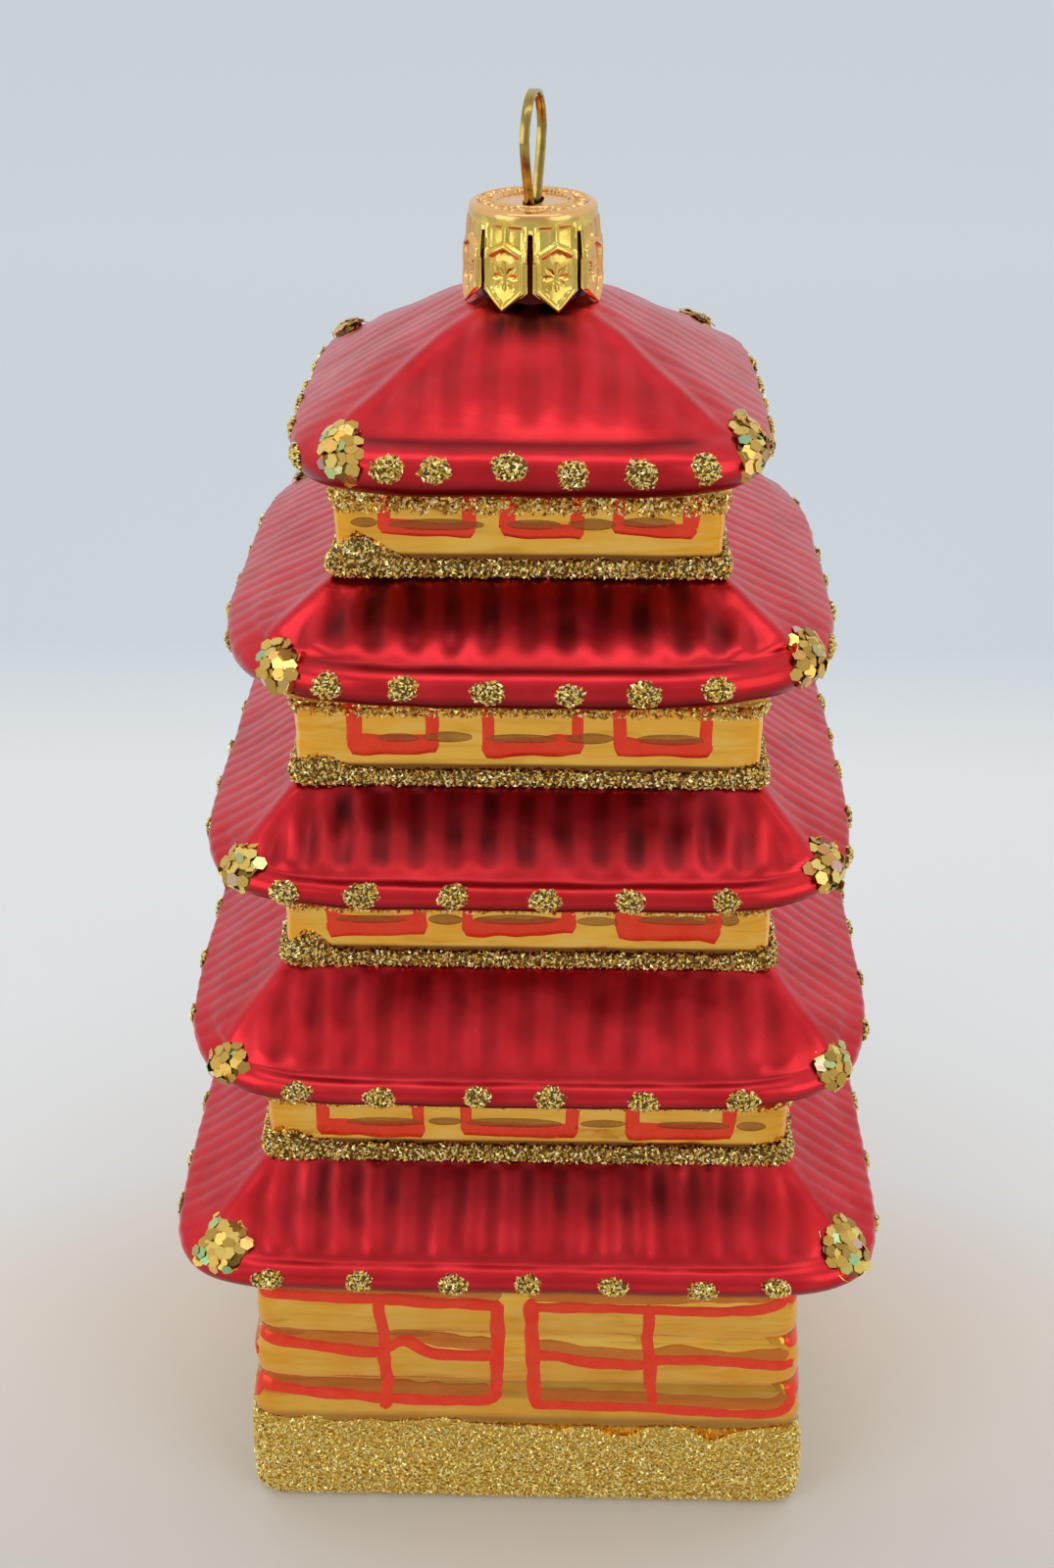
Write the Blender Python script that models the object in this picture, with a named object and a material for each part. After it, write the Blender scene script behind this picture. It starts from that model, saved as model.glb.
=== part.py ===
"""A blown-glass hanging ornament in the shape of a five-roof pagoda.

One hollow glass body carries the roofs, the storey walls and the base. A sheet-metal crown cap covers
its neck and holds a wire hanging loop. Bands of fine glitter run round the walls and the foot, and a
pad of coarse flakes sits on each eave corner. The front faces -Y and the foot rests on Z = 0.
"""

from math import atan2, cos, hypot, pi, radians, sin
from typing import NamedTuple

import bmesh
import bpy
from mathutils import Vector

MM = 0.001

# Directions of a ring's points in one quarter, in degrees: closest together at the hip.
QUARTER = (0, 20, 34, 41, 45, 49, 56, 70)
RING_ANGLES = tuple(radians(quarter * 90 + angle) for quarter in range(4) for angle in QUARTER)
CORNERS = ("back_right", "back_left", "front_left", "front_right")
FLAKE_ANGLES = (41, 45, 49)


class Storey(NamedTuple):
    """A roof and the wall below it. Lengths in mm; squareness is the exponent of the eave's plan."""

    eave_half: float
    eave_z: float
    roll: float
    squareness: float
    sag: float
    wall_half: float
    wall_top: float
    wall_foot: float


STOREYS = (
    Storey(24.2, 131.8, 2.1, 4.7, -0.6, 19.4, 128.4, 119.5),
    Storey(31.8, 112.4, 1.9, 4.1, 0.5, 24.1, 108.1, 98.2),
    Storey(34.7, 90.3, 1.6, 5.4, 0.8, 26.2, 85.4, 76.9),
    Storey(38.1, 67.6, 1.6, 5.3, 0.8, 29.4, 61.4, 52.3),
    Storey(40.5, 43.3, 1.9, 8.5, 0.8, 31.3, 37.3, 0.0),
)

GLASS = 0.9
GAP = 0.3
WALL_SQUARENESS = 24.0
ROUND = 2.0
ROLL_ANGLES = (135, 85, 40, -5, -50)
SLOPE_SHARES = (0.33, 0.67)

NECK_RADIUS = 5.0
NECK_TOP = 149.0
NECK_FOOT = 143.1
SHOULDER_RADIUS = 6.8
SHOULDER_Z = 141.9

# The base: three barrel courses over a plain band that the plinth's glitter covers.
BASE_HALF_TOP = 31.3
BASE_HALF_FOOT = 32.9
COURSES_TOP = 34.3
COURSES_FOOT = 12.6
COURSE_COUNT = 3
COURSE_SHARES = (0.0, 0.2, 0.5, 0.8)
COURSE_BULGE = 0.7
FOOT_ROUNDING = 1.4

# Glitter bands. A section's points are shares of the band's thickness and of its height.
FOOT_BAND_HEIGHTS = (2.0, 1.9, 2.2, 2.8)
FOOT_BAND_THICKNESS = 1.2
FOOT_BAND_SECTION = ((0.0, 1.0), (0.6, 0.9), (1.0, 0.4), (0.8, 0.0), (0.0, 0.0))
TOP_BAND_HEIGHT = 1.8
TOP_BAND_THICKNESS = 0.7
TOP_BAND_SECTION = ((0.0, 1.0), (1.0, 0.8), (1.0, 0.2), (0.0, 0.0))
PLINTH_LOW = 0.7
PLINTH_THICKNESS = 0.9
PLINTH_SECTION = ((0.0, 1.0), (0.7, 0.96), (1.0, 0.83), (1.0, 0.19), (0.6, 0.04), (0.1, 0.0), (0.0, 0.06))

FLAKE_THICKNESS = 0.6
PAD_TOP_SHARE = 0.88

CAP_RIM_RADIUS = 6.3
CAP_SKIRT_RADIUS = 6.9
CAP_TOP = 152.0
CAP_TIP = 142.4
CAP_SHEET = 0.3
CAP_RIM_ROUNDING = 0.6
CAP_DISC_SHARE = 0.62
PETALS = 8
PETAL_POINT = 1.8
PETAL_FLARE = 0.3
PETAL_SHARES = (0.0, 0.25, 0.5, 0.75)
PETAL_DROPS = (0.0, 0.0, 0.5, 1.0, 0.5)
SLIT_TOP = 150.0
SLIT_ANGLE = 5.5
SLIT_DIRECTION = -91.5
SLOT_HALF_LENGTH = 2.7
SLOT_HALF_WIDTH = 0.95

# The loop: its limbs stand apart in the slot, and below it two legs spring out inside the neck.
WIRE_THICKNESS = 0.4
WIRE_WIDTH = 0.95
LOOP_TOP = 162.8
LOOP_HALF_WIDTH = 4.6
LOOP_DIRECTION = 80.0
LOOP_STEP = 15
LIMB_OFFSET = 1.9
LIMB_LOW = 150.0
BELLY_POINTS = ((2.7, 153.6), (3.9, 155.8))
LEG_FOOT = 144.0
LEG_BEND = 145.0
LEG_SPREAD = 3.5

FINISHES = {
    "red_lacquer": ((0.55, 0.012, 0.025), 0.32, 0.75),
    "fine_glitter": ((0.55, 0.42, 0.13), 0.35, 0.9),
    "flake_glitter": ((0.72, 0.52, 0.14), 0.2, 0.9),
    "cap_gold": ((0.80, 0.66, 0.26), 0.22, 1.0),
    "wire_gold": ((0.70, 0.52, 0.20), 0.25, 1.0),
}


class Ring(NamedTuple):
    """One level outline: its distance from the axis in each of RING_ANGLES, and its height."""

    radii: tuple
    z: float


def clear_scene():
    for obj in list(bpy.data.objects):
        bpy.data.objects.remove(obj, do_unlink=True)


def finish_named(name):
    """The material of that name, made on first use."""
    material = bpy.data.materials.get(name)
    if material is None:
        colour, roughness, metallic = FINISHES[name]
        material = bpy.data.materials.new(name)
        material.use_nodes = True
        shader = material.node_tree.nodes["Principled BSDF"]
        shader.inputs["Base Color"].default_value = (*colour, 1.0)
        shader.inputs["Roughness"].default_value = roughness
        shader.inputs["Metallic"].default_value = metallic
    return material


def add_object(name, bm, finish):
    """Link a finished bmesh as an object with rounded shading."""
    mesh = bpy.data.meshes.new(name)
    bm.to_mesh(mesh)
    bm.free()
    mesh.shade_smooth()
    mesh.set_sharp_from_angle(angle=radians(40))
    mesh.materials.append(finish_named(finish))
    obj = bpy.data.objects.new(name, mesh)
    bpy.context.scene.collection.objects.link(obj)
    return obj


def thicken(obj, thickness, offset):
    solidify = obj.modifiers.new("sheet", "SOLIDIFY")
    solidify.thickness = thickness * MM
    solidify.offset = offset
    solidify.use_even_offset = True


def plan_radius(half, squareness, angle):
    """How far a rounded square's edge is from its centre in one direction."""
    return half / (abs(cos(angle)) ** squareness + abs(sin(angle)) ** squareness) ** (1 / squareness)


def ring(half, squareness, z):
    return Ring(tuple(plan_radius(half, squareness, angle) for angle in RING_ANGLES), z)


def between(upper, lower, share, sag):
    """A ring part of the way down a roof slope, which hangs a little below the straight line."""
    radii = tuple((1 - share) * a + share * b for a, b in zip(upper.radii, lower.radii))
    return Ring(radii, (1 - share) * upper.z + share * lower.z - sag * 4 * share * (1 - share))


def roll_rings(storey, lift=0.0):
    """The rounded eave, from the groove above it round to its underside."""
    centre = storey.eave_half - storey.roll
    reach = storey.roll + lift
    return [
        ring(centre + reach * cos(radians(a)), storey.squareness, storey.eave_z + reach * sin(radians(a)))
        for a in ROLL_ANGLES
    ]


def roof_rings(top, storey):
    """A roof from its top ring down over the eave."""
    roll = roll_rings(storey)
    slope = [between(top, roll[0], share, storey.sag) for share in SLOPE_SHARES]
    return [top, *slope, *roll]


def wall_rings(storey):
    return [ring(storey.wall_half, WALL_SQUARENESS, storey.wall_top)]


def wall_foot(storey):
    return ring(storey.wall_half, WALL_SQUARENESS, storey.wall_foot)


def base_half(z):
    """Half width of the base's glass at a height, without the bulge of its courses."""
    share = (COURSES_TOP - z) / (COURSES_TOP - COURSES_FOOT)
    return BASE_HALF_TOP + (BASE_HALF_FOOT - BASE_HALF_TOP) * min(1.0, max(0.0, share))


def base_rings():
    """The barrel courses, then the plain foot with its rounded lower edge."""
    height = (COURSES_TOP - COURSES_FOOT) / COURSE_COUNT
    rings = []
    for course in range(COURSE_COUNT):
        for share in COURSE_SHARES:
            z = COURSES_TOP - (course + share) * height
            bulge = COURSE_BULGE * sin(pi * share) ** 0.5
            rings.append(ring(base_half(z) + bulge, WALL_SQUARENESS, z))
    rings.append(ring(BASE_HALF_FOOT, WALL_SQUARENESS, COURSES_FOOT))
    rings.append(ring(BASE_HALF_FOOT, WALL_SQUARENESS, FOOT_ROUNDING))
    rings.append(ring(BASE_HALF_FOOT - FOOT_ROUNDING, WALL_SQUARENESS, 0.0))
    return rings


def glass_rings():
    """The whole glass outline, from the rim of the neck down to the foot."""
    rings = [
        ring(NECK_RADIUS, ROUND, NECK_TOP),
        ring(NECK_RADIUS, ROUND, NECK_FOOT),
    ]
    top = ring(SHOULDER_RADIUS, ROUND, SHOULDER_Z)
    for storey in STOREYS:
        rings += roof_rings(top, storey)
        rings += wall_rings(storey)
        top = wall_foot(storey)
    return rings + base_rings()


def outline(level):
    """A ring's points, in mm."""
    return [
        Vector((radius * cos(angle), radius * sin(angle), level.z))
        for angle, radius in zip(RING_ANGLES, level.radii)
    ]


def place(verts, points):
    for vert, point in zip(verts, points):
        vert.co = point * MM


def edges_round(bm, verts):
    return [bm.edges.get(pair) for pair in zip(verts, verts[1:] + verts[:1])]


def extrude_loop(bm, verts):
    """Extrude a closed loop of points; the new loop starts beside the old one's first point."""
    made = bmesh.ops.extrude_edge_only(bm, edges=edges_round(bm, verts))["geom"]
    fresh = {item for item in made if isinstance(item, bmesh.types.BMVert)}
    return [
        next(edge.other_vert(vert) for edge in vert.link_edges if edge.other_vert(vert) in fresh)
        for vert in verts
    ]


def skin(bm, outlines):
    """Draw one outline after another with faces between them; returns each outline's points."""
    verts = bmesh.ops.create_circle(bm, segments=len(outlines[0]), radius=1.0)["verts"]
    place(verts, outlines[0])
    loops = [verts]
    for points in outlines[1:]:
        verts = extrude_loop(bm, verts)
        place(verts, points)
        loops.append(verts)
    return loops


def make_glass_body():
    bm = bmesh.new()
    loops = skin(bm, [outline(level) for level in glass_rings()])
    bmesh.ops.edgeloop_fill(bm, edges=edges_round(bm, loops[-1]))
    bmesh.ops.recalc_face_normals(bm, faces=bm.faces)
    body = add_object("glass_body", bm, "red_lacquer")
    thicken(body, GLASS, -1.0)


def make_band(name, section, inner, thickness, low, height):
    """A closed band round the tower, from its section's (outward, upward) shares."""
    outlines = [
        outline(ring(inner + outward * thickness, WALL_SQUARENESS, low + upward * height))
        for outward, upward in section
    ]
    bm = bmesh.new()
    skin(bm, outlines + outlines[:1])
    bmesh.ops.remove_doubles(bm, verts=bm.verts, dist=0.001 * MM)
    bmesh.ops.recalc_face_normals(bm, faces=bm.faces)
    add_object(name, bm, "fine_glitter")


def make_wall_bands():
    for number, (storey, height) in enumerate(zip(STOREYS, FOOT_BAND_HEIGHTS), 1):
        inner = storey.wall_half + GAP
        low = storey.wall_foot + GAP
        make_band(
            f"glitter_foot_{number}", FOOT_BAND_SECTION, inner, FOOT_BAND_THICKNESS, low, height
        )
        low = storey.wall_top - GAP - TOP_BAND_HEIGHT
        make_band(
            f"glitter_top_{number}", TOP_BAND_SECTION, inner, TOP_BAND_THICKNESS, low, TOP_BAND_HEIGHT
        )


def make_plinth_band():
    height = COURSES_FOOT - GAP - PLINTH_LOW
    inner = BASE_HALF_FOOT + GAP
    make_band("glitter_plinth", PLINTH_SECTION, inner, PLINTH_THICKNESS, PLINTH_LOW, height)


def make_flake_pad(name, storey, top, turn):
    """A pad of flakes on one eave corner: a patch of the roof's own surface, lifted off it."""
    columns = [RING_ANGLES.index(radians(turn + angle)) for angle in FLAKE_ANGLES]
    lifted = roll_rings(storey, GAP)
    slope = between(top, roll_rings(storey)[0], PAD_TOP_SHARE, storey.sag)
    rows = [Ring(slope.radii, slope.z + 2 * GAP), *lifted[1:4]]
    bm = bmesh.new()
    grid = bmesh.ops.create_grid(bm, x_segments=len(columns) - 1, y_segments=len(rows) - 1, size=1.0)
    points = sorted(grid["verts"], key=lambda vert: (vert.co.y, vert.co.x))
    places = [(row, column) for row in rows for column in columns]
    for vert, (row, column) in zip(points, places):
        angle = RING_ANGLES[column]
        radius = row.radii[column]
        vert.co = Vector((radius * cos(angle), radius * sin(angle), row.z)) * MM
    outward = Vector((cos(radians(turn + 45)), sin(radians(turn + 45)), 1.0))
    for face in bm.faces:
        face.normal_update()
        if face.normal.dot(outward) < 0:
            face.normal_flip()
    pad = add_object(name, bm, "flake_glitter")
    thicken(pad, FLAKE_THICKNESS, 1.0)


def make_flake_pads():
    top = ring(SHOULDER_RADIUS, ROUND, SHOULDER_Z)
    for number, storey in enumerate(STOREYS, 1):
        for quarter, corner in enumerate(CORNERS):
            make_flake_pad(f"flakes_{number}_{corner}", storey, top, 90 * quarter)
        top = wall_foot(storey)


def petal_angles():
    """Directions of the cap's edges: each slit's two sides and three points across each petal."""
    pitch = 360 / PETALS
    petal = pitch - SLIT_ANGLE
    angles = []
    for number in range(PETALS):
        slit_end = SLIT_DIRECTION + number * pitch + SLIT_ANGLE / 2
        angles.append(slit_end - SLIT_ANGLE)
        angles += [slit_end + petal * share for share in PETAL_SHARES]
    return [radians(angle) for angle in angles]


def circle_outline(angles, radius, z):
    return [Vector((radius * cos(angle), radius * sin(angle), z)) for angle in angles]


def slot_outline(angles):
    """The long slot in the cap's top, in line with the hanging loop."""
    turn = radians(LOOP_DIRECTION)
    along = Vector((cos(turn), sin(turn), 0.0)) * SLOT_HALF_LENGTH
    across = Vector((-sin(turn), cos(turn), 0.0)) * SLOT_HALF_WIDTH
    top = Vector((0.0, 0.0, CAP_TOP))
    return [top + along * cos(angle - turn) + across * sin(angle - turn) for angle in angles]


def point_petals(rim, angles):
    """Lower the skirt's edge to a point in the middle of each petal, and flare it outwards."""
    per_petal = len(angles) // PETALS
    for index, vert in enumerate(rim):
        drop = PETAL_DROPS[index % per_petal]
        vert.co.z -= drop * PETAL_POINT * MM
        vert.co.xy *= 1 + drop * PETAL_FLARE / CAP_SKIRT_RADIUS


def in_slit(place):
    """True for a face between two petals, below the top of the slits."""
    pitch = radians(360 / PETALS)
    turn = (atan2(place.y, place.x) - radians(SLIT_DIRECTION)) % pitch
    beside = min(turn, pitch - turn) < radians(SLIT_ANGLE / 2)
    return beside and place.z < SLIT_TOP * MM and hypot(place.x, place.y) > 0.9 * CAP_RIM_RADIUS * MM


def make_crown_cap():
    """A pressed cup: a flat top with a long slot, and a skirt cut into eight pointed petals."""
    angles = petal_angles()
    levels = (
        (CAP_DISC_SHARE * CAP_RIM_RADIUS, CAP_TOP),
        (CAP_RIM_RADIUS - CAP_RIM_ROUNDING, CAP_TOP),
        (CAP_RIM_RADIUS, CAP_TOP - CAP_RIM_ROUNDING),
        (CAP_RIM_RADIUS, SLIT_TOP),
        (CAP_SKIRT_RADIUS, CAP_TIP + 2 * PETAL_POINT),
        (CAP_SKIRT_RADIUS, CAP_TIP + PETAL_POINT),
    )
    outlines = [slot_outline(angles)] + [circle_outline(angles, radius, z) for radius, z in levels]
    bm = bmesh.new()
    loops = skin(bm, outlines)
    point_petals(loops[-1], angles)
    slits = [face for face in bm.faces if in_slit(face.calc_center_median())]
    bmesh.ops.delete(bm, geom=slits, context="FACES")
    bmesh.ops.recalc_face_normals(bm, faces=bm.faces)
    cap = add_object("crown_cap", bm, "cap_gold")
    thicken(cap, CAP_SHEET, -1.0)


def loop_path():
    """The wire's own plane: (across, up) points from one sprung leg over the loop to the other."""
    centre = LOOP_TOP - WIRE_THICKNESS / 2 - LOOP_HALF_WIDTH
    side = [
        (LEG_SPREAD, LEG_FOOT),
        (LEG_SPREAD, LEG_BEND),
        (LIMB_OFFSET, LIMB_LOW),
        (LIMB_OFFSET, CAP_TOP),
        *BELLY_POINTS,
    ]
    arc = [
        (LOOP_HALF_WIDTH * cos(radians(a)), centre + LOOP_HALF_WIDTH * sin(radians(a)))
        for a in range(-LOOP_STEP, 181 + LOOP_STEP, LOOP_STEP)
    ]
    return [Vector(point) for point in side + arc + [(-across, up) for across, up in reversed(side)]]


def make_hanger_loop():
    """Flat wire bent to a loop: its side view is drawn as a strip, then given the wire's width."""
    path = loop_path()
    turn = radians(LOOP_DIRECTION)
    along = Vector((cos(turn), sin(turn), 0.0))
    width = Vector((sin(turn), -cos(turn), 0.0)) * WIRE_WIDTH * MM
    bm = bmesh.new()
    pairs = []
    for index, point in enumerate(path):
        before = path[max(index - 1, 0)]
        after = path[min(index + 1, len(path) - 1)]
        normal = (after - before).normalized().orthogonal() * WIRE_THICKNESS / 2
        sides = [point + normal, point - normal]
        pairs.append([bm.verts.new((along * p.x + Vector((0, 0, p.y))) * MM - width / 2) for p in sides])
    for (a, b), (c, d) in zip(pairs, pairs[1:]):
        bm.faces.new((a, b, d, c))
    extruded = bmesh.ops.extrude_face_region(bm, geom=bm.faces[:])["geom"]
    moved = [item for item in extruded if isinstance(item, bmesh.types.BMVert)]
    bmesh.ops.translate(bm, vec=width, verts=moved)
    bmesh.ops.recalc_face_normals(bm, faces=bm.faces)
    add_object("hanger_loop", bm, "wire_gold")


clear_scene()
make_glass_body()
make_wall_bands()
make_plinth_band()
make_flake_pads()
make_crown_cap()
make_hanger_loop()
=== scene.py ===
"""Looks of a mouth-blown, silvered glass ornament in the shape of a five-roof pagoda.

Lengths are in millimetres up to the moment a point is placed, and the front faces -Y. Distances along
a storey's outline run from the middle of the front, round by the right-hand side to the back.
"""
import random
from math import atan2, ceil, cos, hypot, pi, radians, sin, sqrt
from typing import NamedTuple

import bmesh
import bpy
import numpy as np
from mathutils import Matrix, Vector, noise


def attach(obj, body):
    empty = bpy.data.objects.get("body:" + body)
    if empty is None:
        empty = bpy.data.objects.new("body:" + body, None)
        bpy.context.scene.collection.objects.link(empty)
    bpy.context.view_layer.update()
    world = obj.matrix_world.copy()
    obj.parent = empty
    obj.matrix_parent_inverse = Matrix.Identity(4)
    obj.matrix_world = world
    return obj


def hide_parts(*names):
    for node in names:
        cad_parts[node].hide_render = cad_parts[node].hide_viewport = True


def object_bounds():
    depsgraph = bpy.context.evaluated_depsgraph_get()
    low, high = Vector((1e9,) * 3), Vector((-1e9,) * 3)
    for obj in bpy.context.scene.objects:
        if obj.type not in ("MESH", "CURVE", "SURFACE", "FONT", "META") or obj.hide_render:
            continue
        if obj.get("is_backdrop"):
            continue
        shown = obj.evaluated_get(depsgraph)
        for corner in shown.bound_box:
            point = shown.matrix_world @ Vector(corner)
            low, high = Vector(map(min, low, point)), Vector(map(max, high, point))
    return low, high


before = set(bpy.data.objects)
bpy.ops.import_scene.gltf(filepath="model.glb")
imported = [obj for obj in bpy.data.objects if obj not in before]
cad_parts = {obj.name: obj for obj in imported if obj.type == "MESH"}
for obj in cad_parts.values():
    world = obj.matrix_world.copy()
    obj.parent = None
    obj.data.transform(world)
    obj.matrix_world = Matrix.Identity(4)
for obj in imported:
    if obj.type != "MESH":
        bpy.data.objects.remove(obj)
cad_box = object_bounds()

MM = 0.001
BODY = "root"
SIDES = 4
CORNERS = ("front_right", "back_right", "back_left", "front_left")


class Storey(NamedTuple):
    """A roof and the wall below it; squareness is the exponent of the eave's plan."""

    eave_half: float
    eave_z: float
    roll: float
    squareness: float
    sag: float
    wall_half: float
    wall_top: float
    wall_foot: float


STOREYS = (
    Storey(24.2, 131.3, 2.6, 4.7, 0.6, 19.4, 128.4, 119.5),
    Storey(31.8, 112.2, 2.1, 4.1, 0.5, 24.1, 108.1, 98.2),
    Storey(34.7, 90.3, 1.6, 5.4, 0.8, 26.2, 85.4, 76.9),
    Storey(38.1, 67.6, 1.6, 5.3, 0.8, 29.4, 61.4, 52.3),
    Storey(40.5, 43.3, 1.9, 8.5, 0.8, 31.3, 37.3, 34.3),
)
WALL_SQUARENESS = 30.0
ROUND = 2.0
# How far a wall runs on inside the roofs above and below it.
TUCK = 0.5
RIPPLE_SEED_STEPS = (7.3, 3.1, 5.7)
RIPPLE_GAIN = 1.6
PERIMETER_STEPS = 2880
# Edges that turn by more degrees than this stay crisp.
CRISP_FROM = 50

# The shoulder and the neck under the cap. Neck points are a radius and a height over the shoulder.
SHOULDER_RADIUS = 5.0
SHOULDER_Z = 143.5
NECK_COLUMNS = 48
NECK_PROFILE = ((5.8, -1.5), (5.8, 1.5), (5.2, 3.0), (4.8, 4.2), (4.8, 5.5))

# Roofs: rows of points down each slope, then round the rolled eave. Turns round it are in degrees.
ROOF_COLUMNS = 148
SLOPE_ROWS = 26
ROLL_ROWS = 13
ROLL_FROM = 88.0
ROLL_TO = -50.0
TOP_ROOF_SQUARENESS = 9.0
TOP_ROOF_SQUARE_BY = 0.28
SLOPE_STARTS = (0.95, 0.93, 1.08, 0.97, 0.97)
SLOPE_TURNS = (10, 6, 2, 4, 4)

# Tile ribs. Their ends are shares of the way down a slope; past it they go on faintly over the roll.
RIB_PITCH = 3.75
SIDE_RIB_PITCH = 2.4
RIB_HEIGHTS = (0.14, 0.24, 0.24, 0.18, 0.26)
SIDE_RIB_HEIGHTS = (0.09, 0.12, 0.15, 0.15, 0.15)
FRONT_ROUNDNESS = 2.0
SIDE_ROUNDNESS = 0.8
RIB_START = 0.10
RIB_ENDS = ((0.74, 0.96), (0.74, 0.96), (0.78, 0.96), (0.84, 0.97), (0.86, 0.98))
RIB_ON_ROLL = 0.10
SIDE_RIB_ON_ROLL = 0.7
ROLL_FADE_TURN = 30
RIB_WANDER = 0.3
SIDE_RIB_WANDER = 0.1
WANDER_SIZE = 9.0
RIB_UNEVENNESS = 0.45
UNEVENNESS_SIZE = 6.0
GLASS_RIPPLE = 0.10
GLASS_RIPPLE_SIZE = 5.0

# Hips, and the groove above each eave. Face ends are shares of the way from a hip to a side's middle.
HIP_PLAIN = (0.5, 2.4)
HIP_SPREAD = 8.0
HIP_SHARE_OF_SWELL = 0.5
HIP_RIDGE = 0.32
HIP_RIDGE_WIDTH = 1.1
HIP_RIDGE_ENDS = 0.15
GROOVE_DEPTH = 0.10
GROOVE_WIDTH = 0.8
GROOVE_SMOOTHING = 6
SIDE_SMOOTHING = 20
CREASE_ROWS = 4
FACE_ENDS = (0.12, 0.28)

# How strongly shade is painted into the red lacquer, standing in for dark reflections: in the valleys, below
# the wall above, in the groove and under the edge.
VALLEY_SHADES = (0.30, 0.44, 0.44, 0.42, 0.40)
VALLEY_EDGES = (-0.35, 0.35)
SIDE_VALLEY_SHADE = 0.3
BLOTCH_LEVEL = 0.8
BLOTCH = 0.4
BLOTCH_SIZE = 3.0
# Painted shade below the wall above; on the top roof, the painted shadow under the cap's petals.
UPPER_SHADES = (1.0, 0.50, 0.44, 0.14, 0.42)
UPPER_SHADE_ENDS = ((0.17, 0.40), (0.5, 0.95), (0.72, 1.0), (0.1, 0.8), (0.35, 0.8))
SHADE_ENDS = ((0.3, 0.8), FACE_ENDS, FACE_ENDS, FACE_ENDS, FACE_ENDS)
GROOVE_SHADES = (0.75, 0.55, 0.35, 0.45, 0.35)
EDGE_SHADE = 0.8
EDGE_SHADE_ENDS = (-0.5, 0.3)

# Storey walls: nearly flat glass with a soft flare under the eave, painted shade just under it, and a dark
# line of painted shade above the foot.
WALL_COLUMNS = 96
WALL_ROWS = 11
WALL_FLARE = 0.5
WALL_FLARE_HEIGHT = 1.6
WALL_RIPPLE = 0.08
WALL_RIPPLE_SIZE = 6.0
WALL_RIPPLE_FLATNESS = 2.5
CORNER_TINT_ENDS = (5.5, 0.5)
FOOT_LINES = (2.35, 2.3, 2.3, 2.65)
FOOT_LINE_ROWS = (-0.8, -0.15, 0.2)
FOOT_LINE_CLEAR = 0.6
FOOT_LINE_SHADE = 0.95
EAVE_SHADE_ENDS = (1.8, 0.6)
EAVE_SHADE_POOL = 0.6

# The base: three barrel courses over a foot that the plinth's glitter covers.
BASE_HALF_TOP = 31.3
BASE_HALF_FOOT = 32.9
COURSES_TOP = 34.3
COURSES_FOOT = 12.6
COURSE_COUNT = 3
COURSE_ROWS = 12
COURSE_BULGE = 0.7
COURSE_ROUNDNESS = 0.7
FOOT_ROUNDING = 2.0
FOOT_CHAMFER = 0.4
# Level bands of painted dark reflection on the base: how strong, and the heights where each comes in and goes
# out.
BASE_SHADE_BANDS = ((0.56, (12.6, 13.2), (14.6, 15.4)), (0.41, (17.4, 18.0), (19.8, 20.4)))


def plan_radius(half, squareness, angle):
    """How far a rounded square's edge is from its centre in one direction, or in many."""
    across = np.abs(np.cos(angle)) ** squareness + np.abs(np.sin(angle)) ** squareness
    return half / across ** (1 / squareness)


class Perimeter:
    """Distances along a rounded square, counted from the middle of the front towards the right."""

    def __init__(self, half, squareness):
        self.angles = np.linspace(-pi / 2, 3 * pi / 2, PERIMETER_STEPS + 1)
        radii = plan_radius(half, squareness, self.angles)
        x, y = radii * np.cos(self.angles), radii * np.sin(self.angles)
        self.run = np.concatenate(([0.0], np.cumsum(np.hypot(np.diff(x), np.diff(y)))))
        self.side = self.run[-1] / SIDES

    def angle(self, distance):
        return np.interp(np.mod(distance, self.run[-1]), self.run, self.angles)

    def even_angles(self, per_side):
        """Directions of points that lie equal distances apart all the way round."""
        return self.angle(np.arange(SIDES * per_side) * self.side / per_side)


class Ring(NamedTuple):
    """A level outline: its distance from the axis in each of a list of directions, and its height."""

    radii: np.ndarray
    z: float


def ring(angles, half, squareness, z):
    return Ring(plan_radius(half, squareness, angles), z)


def mix(a, b, share):
    return a + (b - a) * share


def polar(radius, angle, z):
    return Vector((radius * cos(angle), radius * sin(angle), z))


def outline(angles, level):
    return [polar(radius, angle, level.z) for angle, radius in zip(angles, level.radii)]


def slope_outline(angles, level, sag, swell):
    """A ring's points on a roof, raised by the swell; hips rise less, and hang lower by the sag."""
    points = outline(angles, level)
    for point, angle in zip(points, angles):
        at_hip = abs(sin(2 * angle)) ** HIP_SPREAD
        point.z += swell * (1 - (1 - HIP_SHARE_OF_SWELL) * at_hip) - sag * at_hip
    return points


def smooth_step(value, low, high):
    share = min(1.0, max(0.0, (value - low) / (high - low)))
    return share * share * (3 - 2 * share)


def ripple(point, size, seed):
    """A slow, even wave in all directions, between about -1 and 1."""
    return noise.noise(point / size + Vector([seed * step for step in RIPPLE_SEED_STEPS])) * RIPPLE_GAIN


# Modelling steps shared by the pieces.


def place(verts, points):
    for vert, point in zip(verts, points):
        vert.co = point * MM


def edges_round(bm, verts):
    return [bm.edges.get(pair) for pair in zip(verts, verts[1:] + verts[:1])]


def extrude_loop(bm, verts):
    """Extrude a closed loop of points; the new loop starts beside the old one's first point."""
    made = bmesh.ops.extrude_edge_only(bm, edges=edges_round(bm, verts))["geom"]
    fresh = {item for item in made if isinstance(item, bmesh.types.BMVert)}
    return [
        next(edge.other_vert(vert) for edge in vert.link_edges if edge.other_vert(vert) in fresh)
        for vert in verts
    ]


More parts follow.
